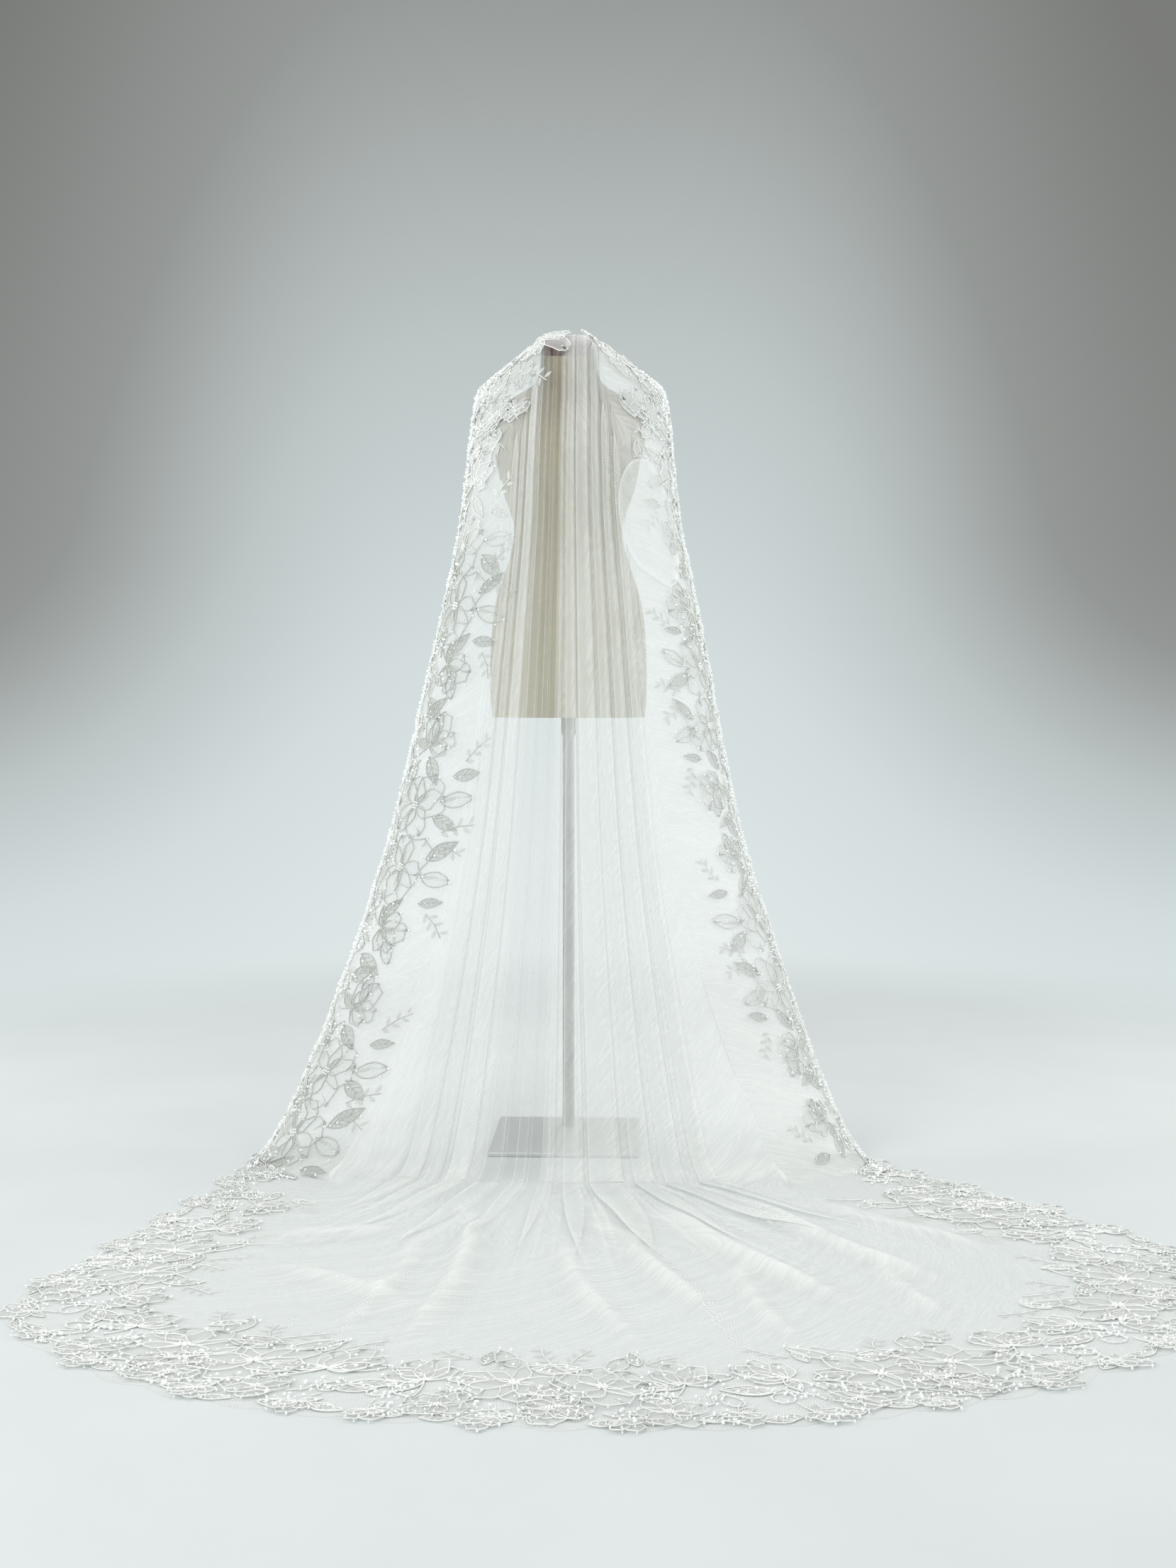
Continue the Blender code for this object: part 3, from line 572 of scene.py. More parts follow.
# Creases of the train: both ends on the floor, height of the ridge and its half width
Crease = namedtuple("Crease", "x1 y1 x2 y2 height width")
trainCreases = [
    Crease(-0.14, -0.60, -0.17, -1.20, 0.014, 0.026),
    Crease(-0.21, -0.74, -0.27, -1.16, 0.009, 0.024),
    Crease(-0.42, -0.88, -0.16, -1.08, 0.010, 0.034),
    Crease(-0.47, -0.76, -0.22, -0.70, 0.008, 0.036),
    Crease(0.08, -0.54, 0.28, -1.10, 0.014, 0.028),
    Crease(0.20, -0.58, 0.46, -1.02, 0.016, 0.034),
    Crease(0.02, -0.72, 0.16, -1.20, 0.010, 0.026),
    Crease(0.34, -0.54, 0.62, -0.92, 0.013, 0.032),
    Crease(0.46, -0.52, 0.72, -0.74, 0.010, 0.034),
    Crease(0.30, -0.86, 0.38, -1.20, 0.010, 0.026),
    Crease(0.52, -0.84, 0.60, -1.08, 0.009, 0.028),
]


def creaseHeight(point):
    height = 0.0
    for crease in trainCreases:
        start = Vector((crease.x1, crease.y1))
        line = Vector((crease.x2, crease.y2)) - start
        share = (point.xy - start).dot(line) / line.length_squared
        if -0.1 < share < 1.1:
            bow = 0.10 * line.length * sin(pi * share) * (0.5 if crease.x1 < 0 else -0.5)
            side = (point.xy - start - line * share).dot(line.orthogonal().normalized()) - bow
            fade = ease(ramp(share, -0.1, 0.25)) * (1 - ease(ramp(share, 0.7, 1.1)))
            height += 1.3 * crease.height * fade / (1 + (side / crease.width) ** 2) ** 2
    return height


def netPoint(column, row):
    angle = columnAngle(column, row)
    point = drape(angle, row)
    onFloor = ramp(row - bell["floorRow"], 0.0, 0.12)
    wander = noise.noise((angle * 0.11, row * 0.9, 3.0)) * 0.004 * (1 - onFloor)
    point += outward(angle, row) * (foldHeight(column, row) + wander * ramp(row, 2.0, 7.0))
    start, middle, end = tulle["landingRows"]
    point.z += tulle["landing"] * ease(ramp(row, start, middle)) * (1 - ease(ramp(row, middle, end)))
    if onFloor:
        calm = ease(ramp(row - bell["floorRow"], 0.0, 0.12)) * (1 - ease(ramp(row - bell["floorRow"], 0.93, 1.0)))
        soft = max(0.0, noise.noise((point.x * 4, point.y * 3, 1.0))) * 0.008
        point.z += (creaseHeight(point) + soft) * calm
    return point


def gridShape(columns):
    wide, tall = len(columns) - 1, len(columns[0]) - 1
    shape = bmesh.new()
    bmesh.ops.create_grid(shape, x_segments=wide, y_segments=tall, size=0.5)
    uv = shape.loops.layers.uv.verify()
    shape.verts.ensure_lookup_table()
    places = {}
    for vertex in shape.verts:
        places[vertex.index] = (round((vertex.co.x + 0.5) * wide), round((0.5 - vertex.co.y) * tall))
    acrossAt = [[0.0] * (tall + 1)]
    for before, column in zip(columns, columns[1:]):
        acrossAt.append([acrossAt[-1][k] + (column[k] - before[k]).length for k in range(tall + 1)])
    downAt = []
    for column in columns:
        downAt.append([0.0])
        for start, end in zip(column, column[1:]):
            downAt[-1].append(downAt[-1][-1] + (end - start).length)
    for vertex in shape.verts:
        column, row = places[vertex.index]
        vertex.co = columns[column][row]
    for face in shape.faces:
        for loop in face.loops:
            column, row = places[loop.vert.index]
            loop[uv].uv = (acrossAt[column][row], downAt[column][row])
    return shape, places


def floatLayer(shape, name, valueAt):
    layer = shape.verts.layers.float.new(name)
    for vertex in shape.verts:
        vertex[layer] = valueAt(vertex)


def netMaterial(name, cover, colour, turnCover):
    made, graph, shader = newMaterial(
        name, Roughness=0.55, Sheen_Weight=0.35, Sheen_Roughness=0.4, Specular_IOR_Level=0.25)
    uv = graph.add("TexCoord", output=2)
    x, y = graph.separated(uv)[:2]
    cloud = graph.noise(graph.stretched(uv, (9.0, 1.6, 1.0)), 3.0, 2.0)
    waves = [graph.maths("SINE", line * 3900.0 + cloud * 60.0, 0)    # the cloud keeps the threads a little uneven
             for line in (x, x * 0.5 + y * 0.866, x * 0.5 - y * 0.866)]
    thread = graph.maths("LESS_THAN", waves[0] + waves[1] - waves[2], -0.35)    # six-sided holes between threads
    turn = graph.add("Attribute", {"attribute_name": "turn"}, output=2)
    layers = graph.add("Attribute", {"attribute_name": "layers"}, output=2)
    clear = (1 - cover * (0.68 + 0.64 * cloud) * (0.62 + 0.9 * thread)) ** layers
    alpha = 1 - clear * (1 - turn * turnCover)
    graph.feed(shader.inputs["Alpha"], alpha)
    graph.feed(shader.inputs["Base Color"], graph.blend(cloud, colour, [min(1, c * 1.06) for c in colour]))
    bump = graph.add("Bump", None, {"Strength": 0.25, "Distance": 0.0004, "Height": thread})
    graph.feed(shader.inputs["Normal"], bump)
    return made


def makeTulle(material):
    columns = netColumns()
    floorRow = bell["floorRow"]
    rows = [floorRow * (place / tulle["rowsHanging"]) for place in range(tulle["rowsHanging"])]
    rows += [floorRow + place / tulle["rowsOnFloor"] for place in range(tulle["rowsOnFloor"] + 1)]
    points = [[netPoint(column, columnRow(column, row)) for row in rows] for column in columns]
    shape, places = gridShape(points)

    def turnAt(vertex):
        column, row = places[vertex.index]
        height = foldHeight(columns[column], columnRow(columns[column], rows[row]))
        share = height / (columns[column].layers * tulle["foldStep"]) if columns[column].layers else 0
        return columns[column].turn * share

    def layersAt(vertex):
        column, row = places[vertex.index]
        trueRow = columnRow(columns[column], rows[row])
        layers = gathered(columnAngle(columns[column], min(trueRow, floorRow)), trueRow)
        if columns[column].thin:
            layers *= 1 - (1 - tulle["thinned"]) * foldStrength(columns[column].folds[0], trueRow)
        if trueRow > floorRow:
            layers *= 1 + gathers["onCrease"] * creaseHeight(vertex.co)
        return layers

    floatLayer(shape, "turn", turnAt)
    floatLayer(shape, "layers", layersAt)
    made = addPiece("veilTulle", shape, [material])
    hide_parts("tulle_drop", "tulle_train")
    return made


tulleMaterial = netMaterial("ivory tulle", 0.155, (0.87, 0.89, 0.87), 0.34)
veilTulle = makeTulle(tulleMaterial)
print("tulle draped:", len(veilTulle.data.polygons), "faces")

# The border: stations along it, each a line of points from the seam out to the edge
border = {
    "rowStep": 0.1,
    "wedgeSteps": 12,
    "angleStep": 0.5,
    "across": 14,
    "fineness": 28,
    "scallopLength": 0.088,
    "scallopDepth": 0.016,
    "clearance": 0.0004,
    "metricWidth": 0.085,     # distances along the border are measured this far in from its edge
}


def evenly(points, count):
    travelled = [0.0]
    for start, end in zip(points, points[1:]):
        travelled.append(travelled[-1] + (end - start).length)
    made = []
    for place in range(count + 1):
        distance = travelled[-1] * place / count
        first = min(bisect_right(travelled, distance) - 1, len(points) - 2)
        share = (distance - travelled[first]) / max(travelled[first + 1] - travelled[first], 1e-9)
        made.append(points[first].lerp(points[first + 1], share))
    return made, travelled[-1]


def hangingStation(side, row):
    rowsToAngles = [(0.0, tulle["shoulderStart"])] + [(line[1], line[0]) for line in tulle["shoulderLine"][1:]]
    start = along(rowsToAngles, row) if row < 7 else bellValue("seam", row)
    end = bellValue("edge", row)
    turns = [start + (end - start) * place / border["fineness"] for place in range(border["fineness"] + 1)]
    return [hanging(side * turn, row) for turn in turns]


def trainStation(angle):
    return [floorPoint(angle, 1.0, place / border["fineness"]) for place in range(border["fineness"] + 1)]


def wedge(first, last):
    steps = border["wedgeSteps"]
    return [[a.lerp(b, place / steps) for a, b in zip(first, last)] for place in range(1, steps)]


def borderStations():
    rowCount = round(bell["floorRow"] / border["rowStep"])
    rows = [bell["floorRow"] * place / rowCount for place in range(rowCount + 1)]
    angleCount = round(2 * train["corner"] / border["angleStep"])
    angles = [train["corner"] * (2 * place / angleCount - 1) for place in range(angleCount + 1)]
    left = [hangingStation(-1, row) for row in rows]
    hem = [trainStation(angle) for angle in angles]
    right = [hangingStation(1, row) for row in reversed(rows)]
    lines = left + wedge(left[-1], hem[0]) + hem + wedge(hem[-1], right[0]) + right
    ends = {
        "hemStart": len(left) + border["wedgeSteps"] - 1,
        "hemEnd": len(left) + border["wedgeSteps"] - 1 + len(hem),
    }
    return lines, ends


class Border:
    # Maps flat places on the border, (distance along, distance in from the edge), to the cloth
    def __init__(self, lines):
        made = [evenly(line, border["across"]) for line in lines]
        self.lines = [line for line, _ in made]
        self.widths = [width for _, width in made]
        self.normals = [self.normalsAt(place) for place in range(len(self.lines))]
        self.travelled = [0.0]
        for place in range(1, len(self.lines)):
            step = self.pointAt(place, border["metricWidth"]) - self.pointAt(place - 1, border["metricWidth"])
            self.travelled.append(self.travelled[-1] + step.length)
        self.length = self.travelled[-1]

    def normalsAt(self, place):
        before, here = self.lines[max(place - 1, 0)], self.lines[place]
        after = self.lines[min(place + 1, len(self.lines) - 1)]
        normals = []
        for k in range(len(here)):
            outer = here[min(k + 1, len(here) - 1)] - here[max(k - 1, 0)]
            normals.append(outer.cross(after[k] - before[k]).normalized())
        return normals

    def pointAt(self, place, inward):
        line, width = self.lines[place], self.widths[place]
        position = (1 - inward / width) * (len(line) - 1)
        first = min(max(int(position), 0), len(line) - 2)
        return line[first].lerp(line[first + 1], position - first)

    def normalAt(self, place, inward):
        normals, width = self.normals[place], self.widths[place]
        position = min(max((1 - inward / width) * (len(normals) - 1), 0), len(normals) - 1.001)
        first = int(position)
        return normals[first].lerp(normals[first + 1], position - first)

    def stationAt(self, distance):
        first = min(max(bisect_right(self.travelled, distance) - 1, 0), len(self.travelled) - 2)
        step = self.travelled[first + 1] - self.travelled[first]
        return first, (distance - self.travelled[first]) / max(step, 1e-9)

    def mapped(self, flat):
        first, share = self.stationAt(flat.x)
        point = self.pointAt(first, flat.y).lerp(self.pointAt(first + 1, flat.y), share)
        normal = self.normalAt(first, flat.y).lerp(self.normalAt(first + 1, flat.y), share)
        point += normal * flat.z
        point.z = max(point.z, border["clearance"])
        return point

    def stretch(self, distance, inward):
        step = 0.01
        first = self.mapped(Vector((distance - step, inward, 0)))
        return max((self.mapped(Vector((distance + step, inward, 0))) - first).length / (2 * step), 0.2)

    def width(self, distance):
        first, share = self.stationAt(distance)
        return self.widths[first] + (self.widths[first + 1] - self.widths[first]) * share


borderLines, borderEnds = borderStations()
veilBorder = Border(borderLines)
hemStart = veilBorder.travelled[borderEnds["hemStart"]]
hemEnd = veilBorder.travelled[borderEnds["hemEnd"]]
print("border mapped:", round(veilBorder.length, 2), "m long")


def scallop(distance):
    return border["scallopDepth"] * abs(sin(pi * distance / border["scallopLength"]))


def makeBorderNet(name, first, last, nodes, material):
    columns = []
    for place in range(first, last + 1):
        distance = veilBorder.travelled[place]
        inner = veilBorder.widths[place]
        depths = [inner * (1 - k / border["across"]) for k in range(border["across"])]
        depths += [-scallop(distance) * 0.5, -scallop(distance)]
        columns.append([veilBorder.pointAt(place, depth) for depth in depths])
    shape, places = gridShape(columns)
    rowsAtShoulder = 8 / border["rowStep"]

    def layersAt(vertex):
        place = first + places[vertex.index][0]
        fromEnd = min(place, len(borderLines) - 1 - place) / rowsAtShoulder
        onFloor = ease(ramp(place, borderEnds["hemStart"] - 20, borderEnds["hemStart"]))
        onFloor *= 1 - ease(ramp(place, borderEnds["hemEnd"], borderEnds["hemEnd"] + 20))
        below = gathers["rightBorder" if place > borderEnds["hemEnd"] else "border"]
        hung = gathers["shoulder"] + (below - gathers["shoulder"]) * ease(ramp(fromEnd, 0.75, 1.1))
        return hung + (gathers["train"] - hung) * onFloor

    floatLayer(shape, "turn", lambda vertex: 0.0)
    floatLayer(shape, "layers", layersAt)
    made = addPiece(name, shape, [material])
    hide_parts(*nodes)
    return made


laceNet = netMaterial("lace ground net", 0.155, (0.87, 0.885, 0.86), 0.34)
netLeft = makeBorderNet("laceNetLeft", 0, borderEnds["hemStart"], ["lace_left", "lace_shoulder_left"], laceNet)
netHem = makeBorderNet("laceNetHem", borderEnds["hemStart"], borderEnds["hemEnd"],
                       ["lace_hem_left", "lace_hem_front", "lace_hem_right"], laceNet)
netRight = makeBorderNet("laceNetRight", borderEnds["hemEnd"], len(borderLines) - 1,
                         ["lace_right", "lace_shoulder_right"], laceNet)
print("lace ground ready")

# Motifs of the lace, drawn flat in metres: x along the border, y inwards, z off the net
motifs = {
    "cordRadius": 0.0009,
    "fineCordRadius": 0.0006,
    "beadRadius": 0.0020,
    "fillHeight": 0.0006,
    "cordHeight": 0.0012,
    "dome": 0.0016,
    "outline": 16,
    "notch": 0.17,            # of a petal's tip, as a share of its length
}


class Motif:
    def __init__(self):
        self.shape = bmesh.new()
        self.uv = self.shape.loops.layers.uv.verify()
        self.cords = []

    def outline(self, base, turn, length, width, wave, power):
        points = []
        notch = motifs["notch"] if wave else 0.0
        for step in range(motifs["outline"]):
            t = tau * step / motifs["outline"]
            share = (1 - cos(t)) / 2 * (1 - notch * exp(-((t - pi) / 0.4) ** 2))
            half = width / 2 * sin(pi * share ** 0.85) ** power
            half *= 1 + wave * sin(5 * t + length * 400)
            points.append(Vector((length * share, copysign(half, sin(t)))))
        turned = Matrix.Rotation(turn, 2)
        return [Vector(base) + turned @ point for point in points]

    def petal(self, base, turn, length, width, wave=0.0, power=0.8, filling=0, cord=True, lift=0.0, curl=0.0):
        points = self.outline(base, turn, length, width, wave, power)
        made = bmesh.ops.create_circle(
            self.shape, cap_ends=True, cap_tris=True, segments=motifs["outline"], radius=1)["verts"]
        middle = Vector(base) + Matrix.Rotation(turn, 2) @ Vector((length * 0.55, 0))
        ring = [vertex for vertex in made if vertex.co.length > 0.5]
        centre = [vertex for vertex in made if vertex.co.length <= 0.5]
        for vertex, point in zip(ring, points):
            reach = (point - Vector(base)).length / length
            vertex.co = (*point, motifs["fillHeight"] + lift + curl * reach * reach)
        for vertex in centre:
            vertex.co = (*middle, motifs["fillHeight"] + motifs["dome"] + lift)
        for face in {face for vertex in made for face in vertex.link_faces}:
            face.material_index = filling
            for loop in face.loops:
                flat = Matrix.Rotation(-turn, 2) @ (loop.vert.co.xy - Vector(base))
                loop[self.uv].uv = flat
        if cord:
            height = motifs["cordHeight"] + lift
            reaches = [(point - Vector(base)).length / length for point in points]
            rim = [(*point, height + curl * reach * reach) for point, reach in zip(points, reaches)]
            self.cords.append((rim, True, motifs["cordRadius"]))

    def cord(self, points, radius=None):
        self.cords.append(([(*point, motifs["cordHeight"]) for point in points], False,
                           radius or motifs["fineCordRadius"]))

    def leaf(self, base, turn, length, width):
        self.petal(base, turn, length, width, 0.0, 1.0, filling=1)
        turned = Matrix.Rotation(turn, 2)
        self.cord([Vector(base) + turned @ Vector((length * share, 0)) for share in (0.02, 0.4, 0.9)])
        for share in (0.3, 0.5, 0.7):
            for side in (-1, 1):
                start = Vector((length * (share - 0.12), 0))
                end = Vector((length * (share + 0.06), side * width * 0.36 * sin(pi * share)))
                self.cord([Vector(base) + turned @ start, Vector(base) + turned @ end])

    def bead(self, place, radius=None, height=None):
        size = radius or motifs["beadRadius"]
        at = Matrix.Translation((*place, height or motifs["cordHeight"] + size * 0.6))
        made = bmesh.ops.create_icosphere(self.shape, subdivisions=1, radius=size, matrix=at)["verts"]
        for face in {face for vertex in made for face in vertex.link_faces}:
            face.material_index = 3
            face.smooth = True

    def finished(self, name):
        mesh = bpy.data.meshes.new(name)
        self.shape.to_mesh(mesh)
        self.shape.free()
        cordMesh = self.cordMesh(name)
        joined = bmesh.new()
        joined.from_mesh(mesh)
        before = len(joined.faces)
        joined.from_mesh(cordMesh)
        joined.faces.ensure_lookup_table()
        for face in joined.faces[before:]:
            face.material_index = 2
        joined.to_mesh(mesh)
        joined.free()
        return mesh

    def cordMesh(self, name):
        curve = bpy.data.curves.new(name, "CURVE")
        curve.dimensions = "3D"
        curve.bevel_depth = 1.0
        curve.bevel_resolution = 0
        curve.use_fill_caps = False
        for points, closed, radius in self.cords:
            spline = curve.splines.new("POLY")
            spline.points.add(len(points) - 1)
            spline.use_cyclic_u = closed
            for target, point in zip(spline.points, points):
                target.co = (*point, 1.0)
                target.radius = radius
        holder = bpy.data.objects.new(name, curve)
        made = bpy.data.meshes.new_from_object(holder)
        bpy.data.objects.remove(holder)
        return made


def blades(motif, turn, length):
    base = (0.004 * cos(turn), 0.004 * sin(turn))
    for swing, share, width in ((0.10, 0.66, 0.0075), (-0.24, 0.46, 0.0055)):
        motif.petal(base, turn + swing, length * share, width, 0, 1.0, filling=1, cord=False, lift=0.0006)


def dew(motif, chance, turn, length, shares, spread=0.24):
    for share in shares:
        side = turn + chance.uniform(-spread, spread)
        motif.bead((length * share * cos(side), length * share * sin(side)), chance.uniform(0.0012, 0.0021))


def openFlower(seed):
    chance = random.Random(seed)
    motif = Motif()
    petals = 6
    for place in range(petals):
        turn = tau * place / petals + chance.uniform(-0.2, 0.2)
        length = chance.uniform(0.048, 0.066)
        motif.petal((0, 0), turn, length, length * chance.uniform(0.66, 0.86), 0.13, 0.62,
                    lift=0.0004 * (place % 2), curl=chance.uniform(0.0005, 0.003))
        if place in (0, 3):
            blades(motif, turn, length)
        dew(motif, chance, turn, length, (0.62, 0.9))
    for place in range(7):
        turn, reach = tau * place / 6, (0.0048 if place < 6 else 0)
        motif.bead((reach * cos(turn), reach * sin(turn)), 0.0017, 0.002)
    return motif.finished("openFlower")


def sideFlower(seed):
    chance = random.Random(seed)
    motif = Motif()
    for turn, length in ((-0.95, 0.038), (-0.4, 0.050), (0.35, 0.056), (0.95, 0.042)):
        turn += chance.uniform(-0.1, 0.1)
        motif.petal((0, 0), turn, length, length * 0.62, 0.14, 0.65, curl=chance.uniform(0.001, 0.004))
        dew(motif, chance, turn, length, (0.6, 0.95))
    blades(motif, 0.35, 0.056)
    blades(motif, -0.4, 0.050)
    motif.leaf((0, 0), 2.3, 0.036, 0.015)
    motif.cord([(0, 0), (-0.012, 0.001), (-0.026, 0.004), (-0.040, 0.010)], motifs["cordRadius"])
    return motif.finished("sideFlower")


def singleLeaf(seed):
    chance = random.Random(seed)
    motif = Motif()
    motif.leaf((0, 0), 0, 0.056, chance.uniform(0.020, 0.025))
    dew(motif, chance, 0, 0.056, (0.1, 0.3, 0.9))
    return motif.finished("singleLeaf")


def bud(seed):
    motif = Motif()
    motif.petal((0, 0), 0, 0.060, 0.026, 0.05, 1.15)
    motif.petal((0.002, 0), 0.12, 0.036, 0.0062, 0, 1.0, filling=1, cord=False, lift=0.0006)
    dew(motif, random.Random(seed), 0, 0.060, (0.1, 0.5, 0.8, 0.95))
    return motif.finished("bud")


def sprig(seed):
    chance = random.Random(seed)
    motif = Motif()
    x = 0.0
    for place in range(6):
        turn = (0.9 if place % 2 else -0.7) + chance.uniform(-0.2, 0.2)
        motif.petal((x, 0.002 * (place % 2)), turn, 0.011, 0.0048, 0, 1.0, filling=1, cord=False)
        x += 0.0062
    motif.cord([(0, 0), (x * 0.5, 0.0022), (x, 0)])
    return motif.finished("sprig")


def scroll(seed):
    chance = random.Random(seed)
    motif = Motif()
    curl = []
    for step in range(18):
        turn = 0.40 * step
        reach = 0.030 - 0.0015 * step
        curl.append((reach * cos(turn) + 0.0016 * step, reach * sin(turn) * 0.8))
    motif.cord(curl, motifs["cordRadius"])
    for step in range(0, 18, 2):
        motif.bead(curl[step], chance.uniform(0.0012, 0.0020))
    return motif.finished("scroll")


def beadCluster(seed):
    chance = random.Random(seed)
    motif = Motif()
    for _ in range(14):
        motif.bead((chance.gauss(0, 0.013), chance.gauss(0, 0.010)), chance.uniform(0.0011, 0.0023))
    motif.cord([(-0.024, 0.004), (-0.01, -0.004), (0.006, 0.003), (0.024, -0.002)], motifs["cordRadius"])
    return motif.finished("beadCluster")


def glints(seed):
    chance = random.Random(seed)
    motif = Motif()
    for place in range(16):
        x = (place - 8) * 0.0058 + chance.gauss(0, 0.002)
        motif.bead((x, 0.005 * sin(x * 90) + chance.gauss(0, 0.002)), chance.uniform(0.0016, 0.0027))
    motif.cord([(-0.046, 0.002), (-0.02, -0.004), (0.01, 0.004), (0.044, -0.003)], motifs["cordRadius"])
    return motif.finished("glints")


kinds = {
    "open": [openFlower(seed) for seed in (1, 2, 3)],
    "side": [sideFlower(seed) for seed in (4, 5, 14)],
    "leaf": [singleLeaf(seed) for seed in (15, 16)],
    "bud": [bud(seed) for seed in (6, 7)],
    "sprig": [sprig(seed) for seed in (8, 9)],
    "scroll": [scroll(seed) for seed in (10, 11)],
    "beads": [beadCluster(seed) for seed in (12, 13)],
    "glints": [glints(seed) for seed in (17, 18, 19)],
}

# One repeat of the border: kind, distance along, distance in from the edge, turn in degrees, size
Stamp = namedtuple("Stamp", "kind along inward turn size")
repeat = {
    "length": 0.25,
    "stamps": [
        # a thick band of flowers along the edge
        Stamp("open", 0.010, 0.038, 15, 0.78), Stamp("open", 0.135, 0.036, 75, 0.74),
        Stamp("side", 0.075, 0.016, -75, 0.75), Stamp("side", 0.205, 0.018, -100, 0.78),
        Stamp("leaf", 0.040, 0.004, -35, 0.7), Stamp("leaf", 0.100, 0.004, -140, 0.7),
        Stamp("leaf", 0.165, 0.006, -40, 0.7), Stamp("leaf", 0.235, 0.004, -150, 0.7),
        # a large flower that reaches inwards, with its leaves
        Stamp("open", 0.062, 0.098, 30, 1.15), Stamp("leaf", 0.040, 0.140, 128, 1.05),
        Stamp("bud", 0.066, 0.142, 72, 1.1), Stamp("sprig", 0.010, 0.160, 60, 1.5),
        # a smaller one below it, between two leaves
        Stamp("side", 0.178, 0.104, 62, 1.2), Stamp("leaf", 0.150, 0.100, 140, 0.95),
        Stamp("bud", 0.186, 0.112, 20, 0.9), Stamp("leaf", 0.228, 0.072, 52, 1.05),
        Stamp("sprig", 0.140, 0.165, 40, 1.4), Stamp("leaf", 0.120, 0.150, 95, 0.8),
        # cords and beads over the band
        Stamp("scroll", 0.110, 0.070, 0, 1.0), Stamp("scroll", 0.222, 0.050, 120, 0.9),
        Stamp("scroll", 0.150, 0.020, 90, 0.7),
        Stamp("beads", 0.075, 0.030, 0, 1.1), Stamp("beads", 0.130, 0.075, 30, 1.0),
        Stamp("beads", 0.195, 0.060, 60, 1.1), Stamp("beads", 0.010, 0.072, 10, 1.0),
        Stamp("beads", 0.185, 0.014, 0, 1.0), Stamp("beads", 0.030, 0.018, 40, 0.9),
    ],
    "jitter": 0.008,
    "turnJitter": 16.0,
    "designWidth": 0.170,     # of the band the stamps are laid out for, and how far they may be spread
    "spread": (0.85, 1.4),
    "rightSpread": 0.72,      # the band is narrower and paler down the right side
    "rightWhite": 0.62,
    "relief": 1.9,            # how much higher the petals stand off the net than they are drawn
    "hemRelief": 1.3,
    "endMargin": 0.055,       # kept clear at both ends of the border
    "cornerReach": 0.09,      # where the hanging lace turns on to the floor it has no inner groups
    "cornerDepth": 0.09,
    "whiteBand": (0.070, 0.115),   # cords are white out here and darken towards the inner groups as painted shade
    "whiteShoulder": (0.36, 0.50),
    "shoulderWhite": 2.0,     # over 1, so the petals there are filled closer too
}


# share of the lit, white colour of cords and fills; lower towards the inner groups, which is painted shade
def whiteAndLitShare(distance, inward):
    if hemStart < distance < hemEnd:
        return 0.72 + 0.28 * ramp(noise.noise((distance * 7, inward * 12, 2.0)), -0.4, 0.2)
    fromEnd = min(distance, veilBorder.length - distance)
    least = repeat["rightWhite"] if distance > hemEnd else 0.0
    shoulder = repeat["shoulderWhite"] * (1 - ramp(fromEnd, *repeat["whiteShoulder"]))
    return max(least, 1 - ramp(inward, *repeat["whiteBand"]), shoulder)


def stampAll(name, start, end, extra, materials):
    chance = random.Random(len(name))
    joined = bmesh.new()
    joined.loops.layers.uv.verify()
    placed = list(extra)
    count = max(1, round((end - start) / repeat["length"]))
    for number in range(count):
        for stamp in repeat["stamps"]:
            share = stamp.along / repeat["length"]
            turn = stamp.turn
            if start == hemStart and stamp.kind in ("leaf", "bud"):    # laid along the hem, not across it
                turn = 90 + min(max((turn - 90) * 2.2, -82), 82)
            if number % 2:    # every second repeat is mirrored
                share, turn = 1 - share, 180 - turn
            distance = start + (number + share) * (end - start) / count
            least, most = repeat["spread"]
            wide = min(max(veilBorder.width(distance) / repeat["designWidth"], least), most)
            wide *= repeat["rightSpread"] if distance > hemEnd else 1.0
            placed.append(stamp._replace(
                along=distance + chance.uniform(-1, 1) * repeat["jitter"],
                inward=stamp.inward * wide + chance.uniform(-1, 1) * repeat["jitter"],
                turn=turn + chance.uniform(-1, 1) * repeat["turnJitter"],
                size=stamp.size * sqrt(wide) * chance.uniform(0.92, 1.08),
            ))
    limits = (repeat["endMargin"], veilBorder.length - repeat["endMargin"])
    for stamp in placed:
        distance = min(max(stamp.along, limits[0]), limits[1])
        nearCorner = min(abs(distance - hemStart), abs(distance - hemEnd)) < repeat["cornerReach"]
        if stamp.inward > veilBorder.width(distance) + 0.02 or nearCorner and stamp.inward > repeat["cornerDepth"]:
            continue
        before = len(joined.verts)
        joined.from_mesh(chance.choice(kinds[stamp.kind]))
        joined.verts.ensure_lookup_table()
        wide = 1 / veilBorder.stretch(distance, stamp.inward)
        place = Matrix.Translation((distance, stamp.inward, 0)) @ Matrix.Diagonal((wide, 1, 1, 1))
        place = place @ Matrix.Rotation(radians(stamp.turn), 4, "Z")
        relief = repeat["hemRelief" if hemStart < distance < hemEnd else "relief"]
        place = place @ Matrix.Diagonal((stamp.size, stamp.size, relief, 1))
        for vertex in joined.verts[before:]:
            vertex.co = place @ vertex.co
    floatLayer(joined, "white", lambda vertex: whiteAndLitShare(vertex.co.x, vertex.co.y))
    for vertex in joined.verts:
        vertex.co = veilBorder.mapped(vertex.co)
    bmesh.ops.recalc_face_normals(joined, faces=joined.faces)
    made = addPiece(name, joined, materials)
    return made


